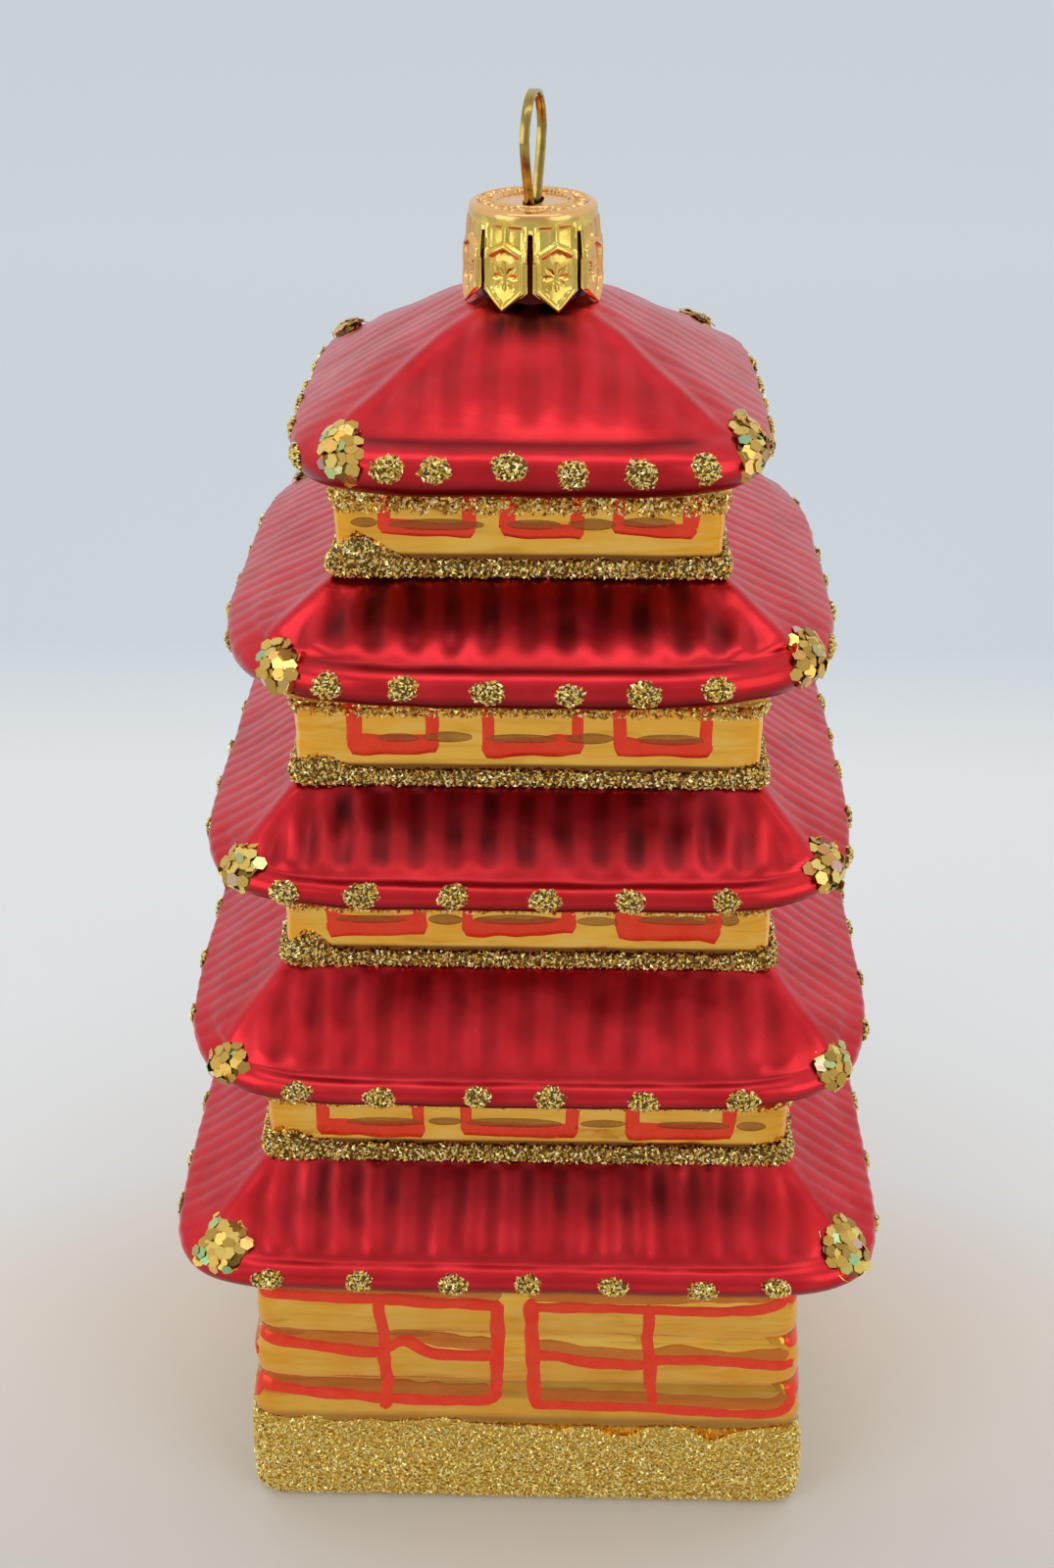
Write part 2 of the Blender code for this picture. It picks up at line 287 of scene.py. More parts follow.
def put_in_order(bm):
    """Number the edges and faces by their points, because extruding leaves them in no fixed order."""
    bm.verts.index_update()
    count = len(bm.verts)

    def place_in_order(item):
        indices = sorted(vert.index for vert in item.verts)
        return (indices[0] * count + indices[1]) * count + indices[-1]

    bm.edges.sort(key=place_in_order)
    bm.faces.sort(key=place_in_order)


def skin(bm, outlines):
    """Draw one outline after another with faces between them; returns each outline's points."""
    verts = bmesh.ops.create_circle(bm, segments=len(outlines[0]), radius=1.0)["verts"]
    place(verts, outlines[0])
    loops = [verts]
    for points in outlines[1:]:
        verts = extrude_loop(bm, verts)
        place(verts, points)
        loops.append(verts)
    put_in_order(bm)
    return loops


def close_ends(bm, loops):
    for loop in (loops[0], loops[-1]):
        bmesh.ops.edgeloop_fill(bm, edges=edges_round(bm, loop))


def add_tube(bm, sections):
    """Add a closed skin through the sections, made by itself first because that is quicker."""
    alone = bmesh.new()
    close_ends(alone, skin(alone, sections))
    mesh = bpy.data.meshes.new("tube")
    alone.to_mesh(mesh)
    alone.free()
    bm.from_mesh(mesh)
    bpy.data.meshes.remove(mesh)


def face_out(bm):
    bmesh.ops.recalc_face_normals(bm, faces=bm.faces)


def add_piece(name, bm, finish, stands_for, flat=False):
    """Link a finished shape as a piece of the ornament."""
    face_out(bm)
    mesh = bpy.data.meshes.new(name)
    bm.to_mesh(mesh)
    bm.free()
    if not flat:
        mesh.shade_smooth()
        mesh.set_sharp_from_angle(angle=radians(CRISP_FROM))
    mesh.materials.append(finish)
    piece = bpy.data.objects.new(name, mesh)
    bpy.context.scene.collection.objects.link(piece)
    if stands_for:
        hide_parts(*stands_for)
    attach(piece, BODY)
    return piece


def push_out(bm, heights):
    """Move each point along its own normal by its height in mm."""
    bm.normal_update()
    moves = [(vert, vert.normal.copy() * height * MM) for vert, height in heights.items()]
    for vert, move in moves:
        vert.co += move


def soften(bm, verts, times):
    for _ in range(times):
        bmesh.ops.smooth_vert(bm, verts=verts, factor=0.5, use_axis_x=True, use_axis_y=True, use_axis_z=True)


# Shader building blocks.


class Graph:
    """Adds and links the nodes of one shader tree."""

    def __init__(self, tree):
        self.tree = tree

    def node(self, kind, inputs=None, **settings):
        made = self.tree.nodes.new(kind)
        for key, value in settings.items():
            setattr(made, key, value)
        for key, value in (inputs or {}).items():
            self.feed(made.inputs[key], value)
        return made

    def feed(self, socket, value):
        if isinstance(value, bpy.types.NodeSocket):
            self.tree.links.new(value, socket)
        else:
            socket.default_value = value

    def math(self, operation, a, b=0.0, clamp=False):
        made = self.node("ShaderNodeMath", operation=operation, use_clamp=clamp)
        self.feed(made.inputs[0], a)
        self.feed(made.inputs[1], b)
        return made.outputs[0]

    def ramp(self, value, stops):
        """A colour ramp: stops are (place, colour) pairs."""
        made = self.node("ShaderNodeValToRGB", {"Fac": value})
        elements = made.color_ramp.elements
        while len(elements) < len(stops):
            elements.new(1.0)
        for element, (where, colour) in zip(elements, stops):
            element.position = where
            element.color = (*colour, 1.0)
        return made.outputs["Color"]

    def blend(self, share, a, b, mode="MIX"):
        made = self.node("ShaderNodeMix", data_type="RGBA", blend_type=mode)
        self.feed(made.inputs["Factor"], share)
        for socket, value in ((made.inputs[6], a), (made.inputs[7], b)):
            self.feed(socket, value if isinstance(value, bpy.types.NodeSocket) else (*value, 1.0))
        return made.outputs[2]

    def stretch(self, value, low, high, to_low=0.0, to_high=1.0):
        """Map a value's range onto another, without going past its ends."""
        made = self.node("ShaderNodeMapRange", {
            "Value": value, "From Min": low, "From Max": high, "To Min": to_low, "To Max": to_high,
        })
        return made.outputs["Result"]

    def place(self):
        return self.node("ShaderNodeTexCoord").outputs["Object"]

    def axis(self, vector, name):
        return self.node("ShaderNodeSeparateXYZ", {"Vector": vector}).outputs[name]

    def attribute(self, name):
        return self.node("ShaderNodeAttribute", attribute_name=name).outputs["Fac"]

    def noise(self, scale, detail, vector=None, distortion=0.0):
        return self.node("ShaderNodeTexNoise", {
            "Vector": vector or self.place(), "Scale": scale, "Detail": detail, "Distortion": distortion,
        }).outputs["Fac"]

    def stretched_noise(self, scale, distortion=0.0):
        """Noise whose scale differs from axis to axis."""
        mapped = self.node("ShaderNodeMapping", {"Vector": self.place(), "Scale": scale})
        return self.noise(1.0, 3.0, mapped.outputs["Vector"], distortion)


def new_group(name, inputs, output, kind):
    """An empty shader node group with named number inputs and one output."""
    tree = bpy.data.node_groups.new(name, "ShaderNodeTree")
    for label, value in inputs.items():
        socket = tree.interface.new_socket(label, in_out="INPUT", socket_type="NodeSocketFloat")
        socket.default_value = value
    tree.interface.new_socket(output, in_out="OUTPUT", socket_type=kind)
    graph = Graph(tree)
    return graph, graph.node("NodeGroupInput").outputs, graph.node("NodeGroupOutput").inputs[output]


CLOUD_GAIN = 2.2
# How high the surface's bumps stand for their size.
BUMP_SHARE = 0.25


def build_cloud_group():
    """Uneven lacquer: a soft mask of large clouds. Size is in mm."""
    inputs = {"Size": 6.0, "Contrast": 1.0}
    graph, given, out = new_group("lacquer_clouds", inputs, "Mask", "NodeSocketFloat")
    clouds = graph.noise(graph.math("DIVIDE", 1.0 / MM, given["Size"]), 3.0)
    spread = graph.math("MULTIPLY", graph.math("SUBTRACT", clouds, 0.5), given["Contrast"])
    graph.feed(out, graph.math("ADD", graph.math("MULTIPLY", spread, CLOUD_GAIN), 0.5, clamp=True))
    return graph.tree


def build_surface_group():
    """The fine tooth of sprayed lacquer and the slow unevenness of blown glass, as a normal."""
    inputs = {"Tooth Size": 0.15, "Tooth": 0.2, "Wave Size": 2.5, "Wave": 0.2}
    graph, given, out = new_group("lacquer_surface", inputs, "Normal", "NodeSocketVector")
    normal = None
    for size, strength in (("Wave Size", "Wave"), ("Tooth Size", "Tooth")):
        bump = graph.node("ShaderNodeBump", {
            "Height": graph.noise(graph.math("DIVIDE", 1.0 / MM, given[size]), 2.0),
            "Strength": given[strength],
            "Distance": graph.math("MULTIPLY", given[size], BUMP_SHARE * MM),
        })
        if normal is not None:
            graph.feed(bump.inputs["Normal"], normal)
        normal = bump.outputs["Normal"]
    graph.feed(out, normal)
    return graph.tree


class Finish:
    """A material with a Principled shader, and a graph to feed it."""

    builders = {"lacquer_clouds": build_cloud_group, "lacquer_surface": build_surface_group}
    groups = {}

    def __init__(self, name, **sockets):
        self.material = bpy.data.materials.new(name)
        self.material.use_nodes = True
        self.graph = Graph(self.material.node_tree)
        self.shader = self.material.node_tree.nodes["Principled BSDF"]
        for label, value in sockets.items():
            self.shader.inputs[label.replace("_", " ")].default_value = value

    def feed(self, label, value):
        self.graph.feed(self.shader.inputs[label], value)

    def vary(self, label, mask, start, end):
        """Feed a number that goes from start to end as the mask goes from 0 to 1."""
        self.feed(label, self.graph.stretch(mask, 0.0, 1.0, start, end))

    def group(self, name, inputs):
        if name not in self.groups:
            self.groups[name] = self.builders[name]()
        return self.graph.node("ShaderNodeGroup", inputs, node_tree=self.groups[name]).outputs[0]

    def clouds(self, size, contrast):
        return self.group("lacquer_clouds", {"Size": size, "Contrast": contrast})

    def bumps(self, tooth_size, tooth, wave_size, wave):
        inputs = {"Tooth Size": tooth_size, "Tooth": tooth, "Wave Size": wave_size, "Wave": wave}
        self.feed("Normal", self.group("lacquer_surface", inputs))


# Lacquers and metals. Tones are colour ramp stops: a place from 0 to 1, and a colour.

RED_TONES = ((0.0, (0.62, 0.012, 0.018)), (0.5, (0.73, 0.019, 0.029)), (1.0, (0.84, 0.028, 0.042)))
# The darkest red, where shade is painted in.
PAINTED_SHADE_RED = (0.10, 0.0005, 0.002)
GOLD_TONES = ((0.0, (0.98, 0.46, 0.04)), (1.0, (1.0, 0.60, 0.10)))
CORNER_GOLD = (1.0, 0.47, 0.04)
PALE_RUN = (1.0, 0.68, 0.20)
DARK_RUN = (0.62, 0.30, 0.03)
# The brownest gold, where shade and dark reflections are painted in.
PAINTED_SHADE_GOLD = (0.18, 0.055, 0.01)
PAINT_TONES = ((0.0, (0.97, 0.040, 0.012)), (1.0, (1.0, 0.078, 0.022)))
# Amber of the painted dark reflections on the walls.
AMBER_REFLECTION_TONES = ((0.0, (0.38, 0.12, 0.02)), (1.0, (0.50, 0.18, 0.03)))
# Orange of the painted reflections of the base's paint.
ORANGE_REFLECTION_TONES = ((0.0, (0.70, 0.14, 0.018)), (1.0, (0.82, 0.22, 0.03)))
GRAIN_TONES = (
    (0.0, (0.15, 0.08, 0.015)),
    (0.08, (0.40, 0.24, 0.05)),
    (0.3, (0.86, 0.58, 0.12)),
    (0.6, (1.0, 0.80, 0.21)),
    (0.85, (1.0, 0.94, 0.48)),
    (0.97, (1.0, 0.80, 0.46)),
)
FOIL_TONES = (
    (0.0, (0.24, 0.14, 0.03)),
    (0.06, (0.40, 0.25, 0.06)),
    (0.3, (0.68, 0.41, 0.09)),
    (0.55, (0.90, 0.62, 0.15)),
    (0.74, (0.98, 0.80, 0.24)),
    (0.84, (0.80, 0.36, 0.12)),
    (0.90, (0.36, 0.62, 0.32)),
    (0.96, (0.62, 0.74, 0.30)),
    (0.99, (0.80, 0.48, 0.44)),
)
CAP_TONES = ((0.0, (0.80, 0.55, 0.10)), (1.0, (0.96, 0.76, 0.20)))
WIRE_TONES = ((0.0, (0.34, 0.23, 0.05)), (1.0, (0.58, 0.42, 0.12)))
ROSY_BRASS = (0.98, 0.54, 0.20)
# Tints below this belong to the glue between the grains.
BED_TINT_END = 0.05
# Where the cap's brass turns rosy: from one height to another, and outward from its middle.
ROSY_HEIGHTS = (151.0, 151.6)
ROSY_FLANKS = (5.0, 6.2)
METAL_ROUGHNESS = (0.24, 0.16)
# Noise scales across and up the gold, for runs of lacquer and for fine level lines.
RUN_SCALE = (120.0, 120.0, 850.0)
PALE_ENDS = (0.48, 0.36)
DARK_ENDS = (0.54, 0.68)
RUN_STRENGTH = 0.4
LINE_SCALE = (30.0, 30.0, 1800.0)
LINE_ENDS = (0.3, 0.75)
REFLECTION_UNEVENNESS = 0.08


def make_red_lacquer():
    """Satin red lacquer over silvered glass, with painted shade that makes it deeper in the valleys between
    the tiles, under walls and eaves and in the grooves.
    """
    finish = Finish("red_lacquer_satin", Metallic=1.0, Coat_Weight=0.3, Coat_Roughness=0.28)
    graph = finish.graph
    clouds = finish.clouds(size=5.0, contrast=0.9)
    tone = graph.ramp(clouds, RED_TONES)
    # Painted shade: the vertices' shade attribute blends in the darkest red.
    finish.feed("Base Color", graph.blend(graph.attribute("painted_shade"), tone, PAINTED_SHADE_RED))
    finish.vary("Roughness", clouds, 0.34, 0.28)
    finish.bumps(tooth_size=0.12, tooth=0.14, wave_size=1.8, wave=0.08)
    return finish.material


def make_gold_lacquer():
    """Clear gold lacquer on mirror-bright glass: amber at the corners, browner where shade and dark
    reflections are painted in.
    """
    finish = Finish("gold_lacquer_gloss", Metallic=1.0, Coat_Weight=0.25, Coat_Roughness=0.04)
    graph = finish.graph
    tone = graph.ramp(finish.clouds(size=7.0, contrast=1.0), GOLD_TONES)
    tone = graph.blend(graph.attribute("corner"), tone, CORNER_GOLD)
    runs = graph.stretched_noise(RUN_SCALE, distortion=0.8)
    for ends, colour in ((PALE_ENDS, PALE_RUN), (DARK_ENDS, DARK_RUN)):
        tone = graph.blend(graph.stretch(runs, *ends, 0.0, RUN_STRENGTH), tone, colour)
    # Painted shade and dark reflection turn the gold brown.
    finish.feed("Base Color", graph.blend(graph.attribute("painted_shade"), tone, PAINTED_SHADE_GOLD))
    lines = graph.stretched_noise(LINE_SCALE)
    finish.feed("Roughness", graph.stretch(lines, *LINE_ENDS, 0.07, 0.22))
    finish.bumps(tooth_size=0.3, tooth=0.03, wave_size=4.0, wave=0.13)
    return finish.material


def make_paint():
    """Glossy red-orange enamel, brushed on unevenly."""
    finish = Finish("red_orange_enamel", Metallic=0.55, Coat_Weight=0.15, Coat_Roughness=0.08)
    clouds = finish.clouds(size=2.2, contrast=1.0)
    finish.feed("Base Color", finish.graph.ramp(clouds, PAINT_TONES))
    finish.vary("Roughness", clouds, 0.22, 0.34)
    finish.bumps(tooth_size=0.4, tooth=0.02, wave_size=3.0, wave=0.03)
    return finish.material


def make_reflection_film(name, tones, cover):
    """A thin see-through film of painted reflection over the gold and paint, a little uneven in how well it
    covers.
    """
    finish = Finish(name, Metallic=0.5, Coat_Weight=0.15, Coat_Roughness=0.06)
    clouds = finish.clouds(size=3.0, contrast=1.0)
    finish.feed("Base Color", finish.graph.ramp(clouds, tones))
    finish.vary("Roughness", clouds, 0.14, 0.26)
    thin, thick = cover - REFLECTION_UNEVENNESS, cover + REFLECTION_UNEVENNESS
    finish.feed("Alpha", finish.graph.stretch(clouds, 0.2, 0.8, thin, thick))
    return finish.material


def make_glitter():
    """Fine metallic grains, each with its own tint, in a brown bed of glue."""
    finish = Finish("fine_glitter_grains", Coat_Weight=0.0)
    tint = finish.graph.attribute("tint")
    finish.feed("Base Color", finish.graph.ramp(tint, GRAIN_TONES))
    finish.feed("Metallic", finish.graph.stretch(tint, 0.0, BED_TINT_END, 0.5, 0.9))
    finish.vary("Roughness", tint, 0.5, 0.24)
    finish.bumps(tooth_size=0.1, tooth=0.1, wave_size=0.5, wave=0.1)
    return finish.material


def make_foil():
    """Coarse foil flakes: gold and straw, a few of them green, orange or pink."""
    finish = Finish("foil_flakes", Metallic=1.0, Coat_Weight=0.05, Coat_Roughness=0.1)
    tint = finish.graph.attribute("tint")
    finish.feed("Base Color", finish.graph.ramp(tint, FOIL_TONES))
    finish.vary("Roughness", tint, 0.36, 0.22)
    finish.bumps(tooth_size=0.1, tooth=0.04, wave_size=0.8, wave=0.12)
    return finish.material


def make_metal(name, tones, wave, rosy=False):
    """Bright lacquered brass with faint handling marks; a rosy one changes on its top and flanks."""
    finish = Finish(name, Metallic=1.0, Coat_Weight=0.08, Coat_Roughness=0.1)
    graph = finish.graph
    clouds = finish.clouds(size=2.0, contrast=1.2)
    tone = graph.ramp(clouds, tones)
    if rosy:
        place = graph.place()
        top = graph.stretch(graph.axis(place, "Z"), *(height * MM for height in ROSY_HEIGHTS))
        off_middle = graph.math("ABSOLUTE", graph.axis(place, "X"))
        flank = graph.stretch(off_middle, *(reach * MM for reach in ROSY_FLANKS))
        tone = graph.blend(graph.math("MAXIMUM", top, flank), tone, ROSY_BRASS)
    finish.feed("Base Color", tone)
    finish.vary("Roughness", clouds, *METAL_ROUGHNESS)
    finish.bumps(tooth_size=0.08, tooth=0.05, wave_size=0.9, wave=wave)
    return finish.material


# Roofs.


def roll_point(storey, degrees, lift=0.0):
    """Half width and height of a place on a rounded eave, so many degrees above level."""
    reach = storey.roll + lift
    half = storey.eave_half - storey.roll + reach * cos(radians(degrees))
    return half, storey.eave_z + reach * sin(radians(degrees))


def roll_ring(angles, storey, degrees):
    half, z = roll_point(storey, degrees)
    return ring(angles, half, storey.squareness, z)


def slope_level(angles, number, share):
    """A ring part of the way down a slope: crisp at the hips till near the eave."""
    storey = STOREYS[number]
    eave_half, eave_z = roll_point(storey, ROLL_FROM)
    if number == 0:
        top_half, top_z = SHOULDER_RADIUS, SHOULDER_Z
        rounding = mix(1 / ROUND, 1 / TOP_ROOF_SQUARENESS, smooth_step(share, 0.0, TOP_ROOF_SQUARE_BY))
    else:
        above = STOREYS[number - 1]
        top_half, top_z = above.wall_half, above.wall_foot
        rounding = 1 / WALL_SQUARENESS
    rounding = mix(rounding, 1 / storey.squareness, share ** 3)
    return ring(angles, mix(top_half, eave_half, share), 1 / rounding, mix(top_z, eave_z, share))


def roof_levels(angles, number):
    """Every outline of a roof, how far down its slope it lies, and its rib share at front and side."""
    storey = STOREYS[number]
    levels = []
    for row in range(SLOPE_ROWS):
        share = row / SLOPE_ROWS
        starts = smooth_step(share, 0.0, RIB_START)
        fades = smooth_step(share, *RIB_ENDS[number])
        front, side = (starts * (1 - (1 - rest) * fades) for rest in (RIB_ON_ROLL, SIDE_RIB_ON_ROLL))
        levels.append((slope_level(angles, number, share), share, front, side))
    for row in range(ROLL_ROWS + 1):
        turn = ROLL_FROM + (ROLL_TO - ROLL_FROM) * row / ROLL_ROWS
        fades = smooth_step(turn, ROLL_TO, ROLL_FADE_TURN)
        levels.append((roll_ring(angles, storey, turn), 1.0, RIB_ON_ROLL * fades, SIDE_RIB_ON_ROLL * fades))
    under = ring(angles, storey.wall_half, WALL_SQUARENESS, storey.wall_top)
    last = levels[-1][0]
    halfway = Ring((last.radii + under.radii) / 2, (last.z + under.z) / 2)
    return levels + [(halfway, 1.0, 0.0, 0.0), (under, 1.0, 0.0, 0.0)]


def at_side(point):
    return abs(point.x) > abs(point.y)


def from_middle_and_axis(point):
    """How far a point lies from the middle of its side, along it, and how far out from the axis."""
    return sorted((abs(point.x), abs(point.y)))


def rib(across, pitch, roundness):
    """Rounded tile crests with narrow valleys, between -0.5 and 0.5."""
    return abs(sin(pi * across / pitch)) ** roundness - 0.5


def tile_height(point, full, number):
    """How far the mould pushed one point of a roof out, and how much painted shade, standing in for a dark
    reflection, its valleys get.
    """
    seed = number + 1
    along, outward = from_middle_and_axis(point)
    full *= smooth_step((outward - along) / sqrt(2), *HIP_PLAIN)
    wave = GLASS_RIPPLE * ripple(point, GLASS_RIPPLE_SIZE, seed + 2)
    wander = ripple(point, WANDER_SIZE, seed + 1)
    if at_side(point):
        profile = rib(point.y + SIDE_RIB_WANDER * wander, SIDE_RIB_PITCH, SIDE_ROUNDNESS)
        height = SIDE_RIB_HEIGHTS[number] * full * profile
        return height + wave, SIDE_VALLEY_SHADE * full * max(0.0, -2 * profile)
    profile = rib(point.x + RIB_WANDER * wander, RIB_PITCH, FRONT_ROUNDNESS)
    uneven = 1.0 + RIB_UNEVENNESS * ripple(point, UNEVENNESS_SIZE, seed)
    # Painted shade in the valleys between the ribs, made blotchy.
    blotch = BLOTCH_LEVEL + BLOTCH * ripple(point, BLOTCH_SIZE, seed + 3)
    valley = smooth_step(-profile, *VALLEY_EDGES) * VALLEY_SHADES[number] * blotch
    return RIB_HEIGHTS[number] * full * uneven * profile + wave, valley * full


def bell(off, width):
    """A smooth bump: 1 in its middle, and nearly 0 at twice its width."""
    return float(np.exp(-(off / width) ** 2))


def make_roof(number, finish):
    """A roof from the wall above, down its slope, round the eave and in to the wall below."""
    storey = STOREYS[number]
    angles = Perimeter(storey.eave_half, storey.squareness).even_angles(ROOF_COLUMNS)
    levels = roof_levels(angles, number)
    bm = bmesh.new()
    painted_shade = bm.verts.layers.float.new("painted_shade")
    outlines = []
    fall = levels[0][0].z - levels[SLOPE_ROWS][0].z
    for level, share, *_ in levels:
        swell = fall * (1 - SLOPE_STARTS[number]) * (share - share ** SLOPE_TURNS[number])
        outlines.append(slope_outline(angles, level, storey.sag * 4 * share * (1 - share), swell))
    loops = skin(bm, outlines)
    close_ends(bm, loops)
    face_out(bm)
    crease = loops[SLOPE_ROWS - CREASE_ROWS:SLOPE_ROWS + CREASE_ROWS + 1]
    crease = [vert for loop in crease for vert in loop]
    soften(bm, crease, GROOVE_SMOOTHING)
    soften(bm, [vert for vert in crease if at_side(vert.co)], SIDE_SMOOTHING)
    groove = roll_ring(angles, storey, ROLL_FROM)
    heights = {}
    for loop, (level, share, front, side) in zip(loops[1:-1], levels[1:-1]):
        cut = 0.0
        if level.z > storey.eave_z:
            cut = bell(hypot(level.radii[0] - groove.radii[0], level.z - groove.z), GROOVE_WIDTH)
        # Painted shade below the wall above; on the top roof, painted shadow under the cap.
        upper = UPPER_SHADES[number] * (1 - smooth_step(share, *UPPER_SHADE_ENDS[number]))
        ridge = HIP_RIDGE * smooth_step(share, 0.0, HIP_RIDGE_ENDS)
        ridge *= 1 - smooth_step(share, 1.0 - HIP_RIDGE_ENDS, 1.0)
        for vert in loop:
            point = vert.co / MM
            sideways = at_side(point)
            along, outward = from_middle_and_axis(point)
            height, shade_amount = tile_height(point, side if sideways else front, number)
            from_hip = 1 - along / outward
            here = 0.0 if sideways else cut * smooth_step(from_hip, *FACE_ENDS)
            below = 0.0 if sideways else upper * smooth_step(from_hip, *SHADE_ENDS[number])
            # Painted shade on the lower part of the roll, under the edge.
            on_roll_at = (point.z - storey.eave_z) / storey.roll
            under_edge = EDGE_SHADE * (1 - smooth_step(on_roll_at, *EDGE_SHADE_ENDS))
            hip = ridge * bell((outward - along) / sqrt(2), HIP_RIDGE_WIDTH)
            heights[vert] = height - GROOVE_DEPTH * here + hip
            # All the painted shade of this point: valleys, below the wall, groove and under the edge.
            vert[painted_shade] = min(1.0, shade_amount + below + GROOVE_SHADES[number] * here + under_edge)
    push_out(bm, heights)
    return add_piece(f"red_roof_{number + 1}", bm, finish, ["glass_body"])


def make_neck(finish):
    """The glass neck inside the cap, painted dark all over with shade."""
    angles = np.linspace(0, 2 * pi, NECK_COLUMNS, endpoint=False)
    bm = bmesh.new()
    painted_shade = bm.verts.layers.float.new("painted_shade")
    levels = [ring(angles, radius, ROUND, SHOULDER_Z + rise) for radius, rise in NECK_PROFILE]
    close_ends(bm, skin(bm, [outline(angles, level) for level in levels]))
    # Painted shade: the whole neck is dark.
    for vert in bm.verts:
        vert[painted_shade] = 1.0
    return add_piece("glass_neck", bm, finish, ["glass_body"])


# Storey walls and base.


def corner_share(point, half):
    """1 on a corner's rounding, falling to 0 a few millimetres along the wall."""
    low, high = (half - off for off in CORNER_TINT_ENDS)
    return smooth_step(from_middle_and_axis(point)[0], low, high)


def wall_half_at(storey, z):
    flare = smooth_step(z, storey.wall_top - WALL_FLARE_HEIGHT, storey.wall_top)
    return storey.wall_half + WALL_FLARE * flare


def glass_wave(point, seed):
    """How far a wall's glass stands out of its plan, in long level waves."""
    flat = Vector((point.x, point.y, WALL_RIPPLE_FLATNESS * point.z))
    return WALL_RIPPLE * ripple(flat, WALL_RIPPLE_SIZE, seed)


def make_gold_glass(name, angles, levels, half, finish, shaded):
    """A gold storey through level outlines; the given function of height says how much shade is painted in
    there.
    """
    bm = bmesh.new()
    corner = bm.verts.layers.float.new("corner")
    painted_shade = bm.verts.layers.float.new("painted_shade")
    loops = skin(bm, [outline(angles, level) for level in levels])
    close_ends(bm, loops)
    face_out(bm)
    heights = {}
    for loop in loops[1:-1]:
        for vert in loop:
            point = vert.co / MM
            vert[corner] = corner_share(point, half)
            # Painted shade at this height.
            vert[painted_shade] = shaded(point.z)
            heights[vert] = glass_wave(point, half)
    push_out(bm, heights)
    return add_piece(name, bm, finish, ["glass_body"])


def wall_perimeter(storey):
    return Perimeter(storey.wall_half, WALL_SQUARENESS)


def make_wall(number, finish):
    """A storey's wall, with close rows where its dark line of painted shade ends."""
    storey = STOREYS[number]
    angles = wall_perimeter(storey).even_angles(WALL_COLUMNS)
    line = storey.wall_foot + FOOT_LINES[number]
    below, starts, ends = (line + off for off in FOOT_LINE_ROWS)
    plain = line + FOOT_LINE_CLEAR
    above = [plain + (storey.wall_top - plain) * row / WALL_ROWS for row in range(WALL_ROWS + 1)]
    heights = [storey.wall_foot - TUCK, below, starts, ends, *above, storey.wall_top + TUCK]
    levels = [ring(angles, wall_half_at(storey, z), WALL_SQUARENESS, z) for z in heights]
    shade_low, shade_high = (storey.wall_top - off for off in EAVE_SHADE_ENDS)

    # Painted shade just under the eave and in a dark line just above the foot.
    def shaded(z):
        under_eave = smooth_step(z, shade_low, shade_high)
        at_foot = 1 - smooth_step(z, starts, ends)
        return max(EAVE_SHADE_POOL * under_eave, FOOT_LINE_SHADE * at_foot)

    return make_gold_glass(f"gold_storey_{number + 1}", angles, levels, storey.wall_half, finish, shaded)


def base_half(z):
    """Half width of the base at a height, with the bulge of its courses."""
    share = min(1.0, max(0.0, (COURSES_TOP - z) / (COURSES_TOP - COURSES_FOOT)))
    bulge = 0.0
    if COURSES_FOOT < z < COURSES_TOP:
        bulge = COURSE_BULGE * abs(sin(pi * share * COURSE_COUNT)) ** COURSE_ROUNDNESS
    return BASE_HALF_TOP + (BASE_HALF_FOOT - BASE_HALF_TOP) * share + bulge


# Painted dark reflection in level bands across the base.
def base_painted_shade(z):
    return sum(
        shade_amount * smooth_step(z, *comes_in) * (1 - smooth_step(z, *goes_out))
        for shade_amount, comes_in, goes_out in BASE_SHADE_BANDS
    )


def make_base(finish):
    """The three barrel courses, and the foot below them with its rounded edge."""
    angles = Perimeter(BASE_HALF_FOOT, WALL_SQUARENESS).even_angles(WALL_COLUMNS)
    rows = COURSE_COUNT * COURSE_ROWS
    drop = (COURSES_TOP - COURSES_FOOT) / rows
    heights = [STOREYS[-1].wall_top + TUCK] + [COURSES_TOP - row * drop for row in range(rows + 1)]
    levels = [ring(angles, base_half(z), WALL_SQUARENESS, z) for z in heights]
    chamfer = FOOT_CHAMFER * FOOT_ROUNDING
    for inset, z in ((0.0, FOOT_ROUNDING), (chamfer, chamfer), (FOOT_ROUNDING, 0.0)):
        levels.append(ring(angles, BASE_HALF_FOOT - inset, WALL_SQUARENESS, z))
    return make_gold_glass("gold_base", angles, levels, BASE_HALF_FOOT, finish, base_painted_shade)


class Wall(NamedTuple):
    """A surface to paint on: its perimeter, its half width at each height, and its wave's seed."""

    perimeter: Perimeter
    half_at: object
    seed: float

    def point(self, distance, z, lift):
        angle = self.perimeter.angle(distance)
        half = self.half_at(z)
        glass = polar(plan_radius(half, WALL_SQUARENESS, angle), angle, z)
        half = half + lift + glass_wave(glass, self.seed)
        return polar(plan_radius(half, WALL_SQUARENESS, angle), angle, z)


def wall_surface(storey):
    return Wall(wall_perimeter(storey), lambda z: wall_half_at(storey, z), storey.wall_half)


def base_surface():
    return Wall(Perimeter(BASE_HALF_FOOT, WALL_SQUARENESS), base_half, BASE_HALF_FOOT)


# Painted lines. Places are (distance from the middle of the side, height).

PAINT_THICKNESS = 0.09
STROKE_STEP = 0.45
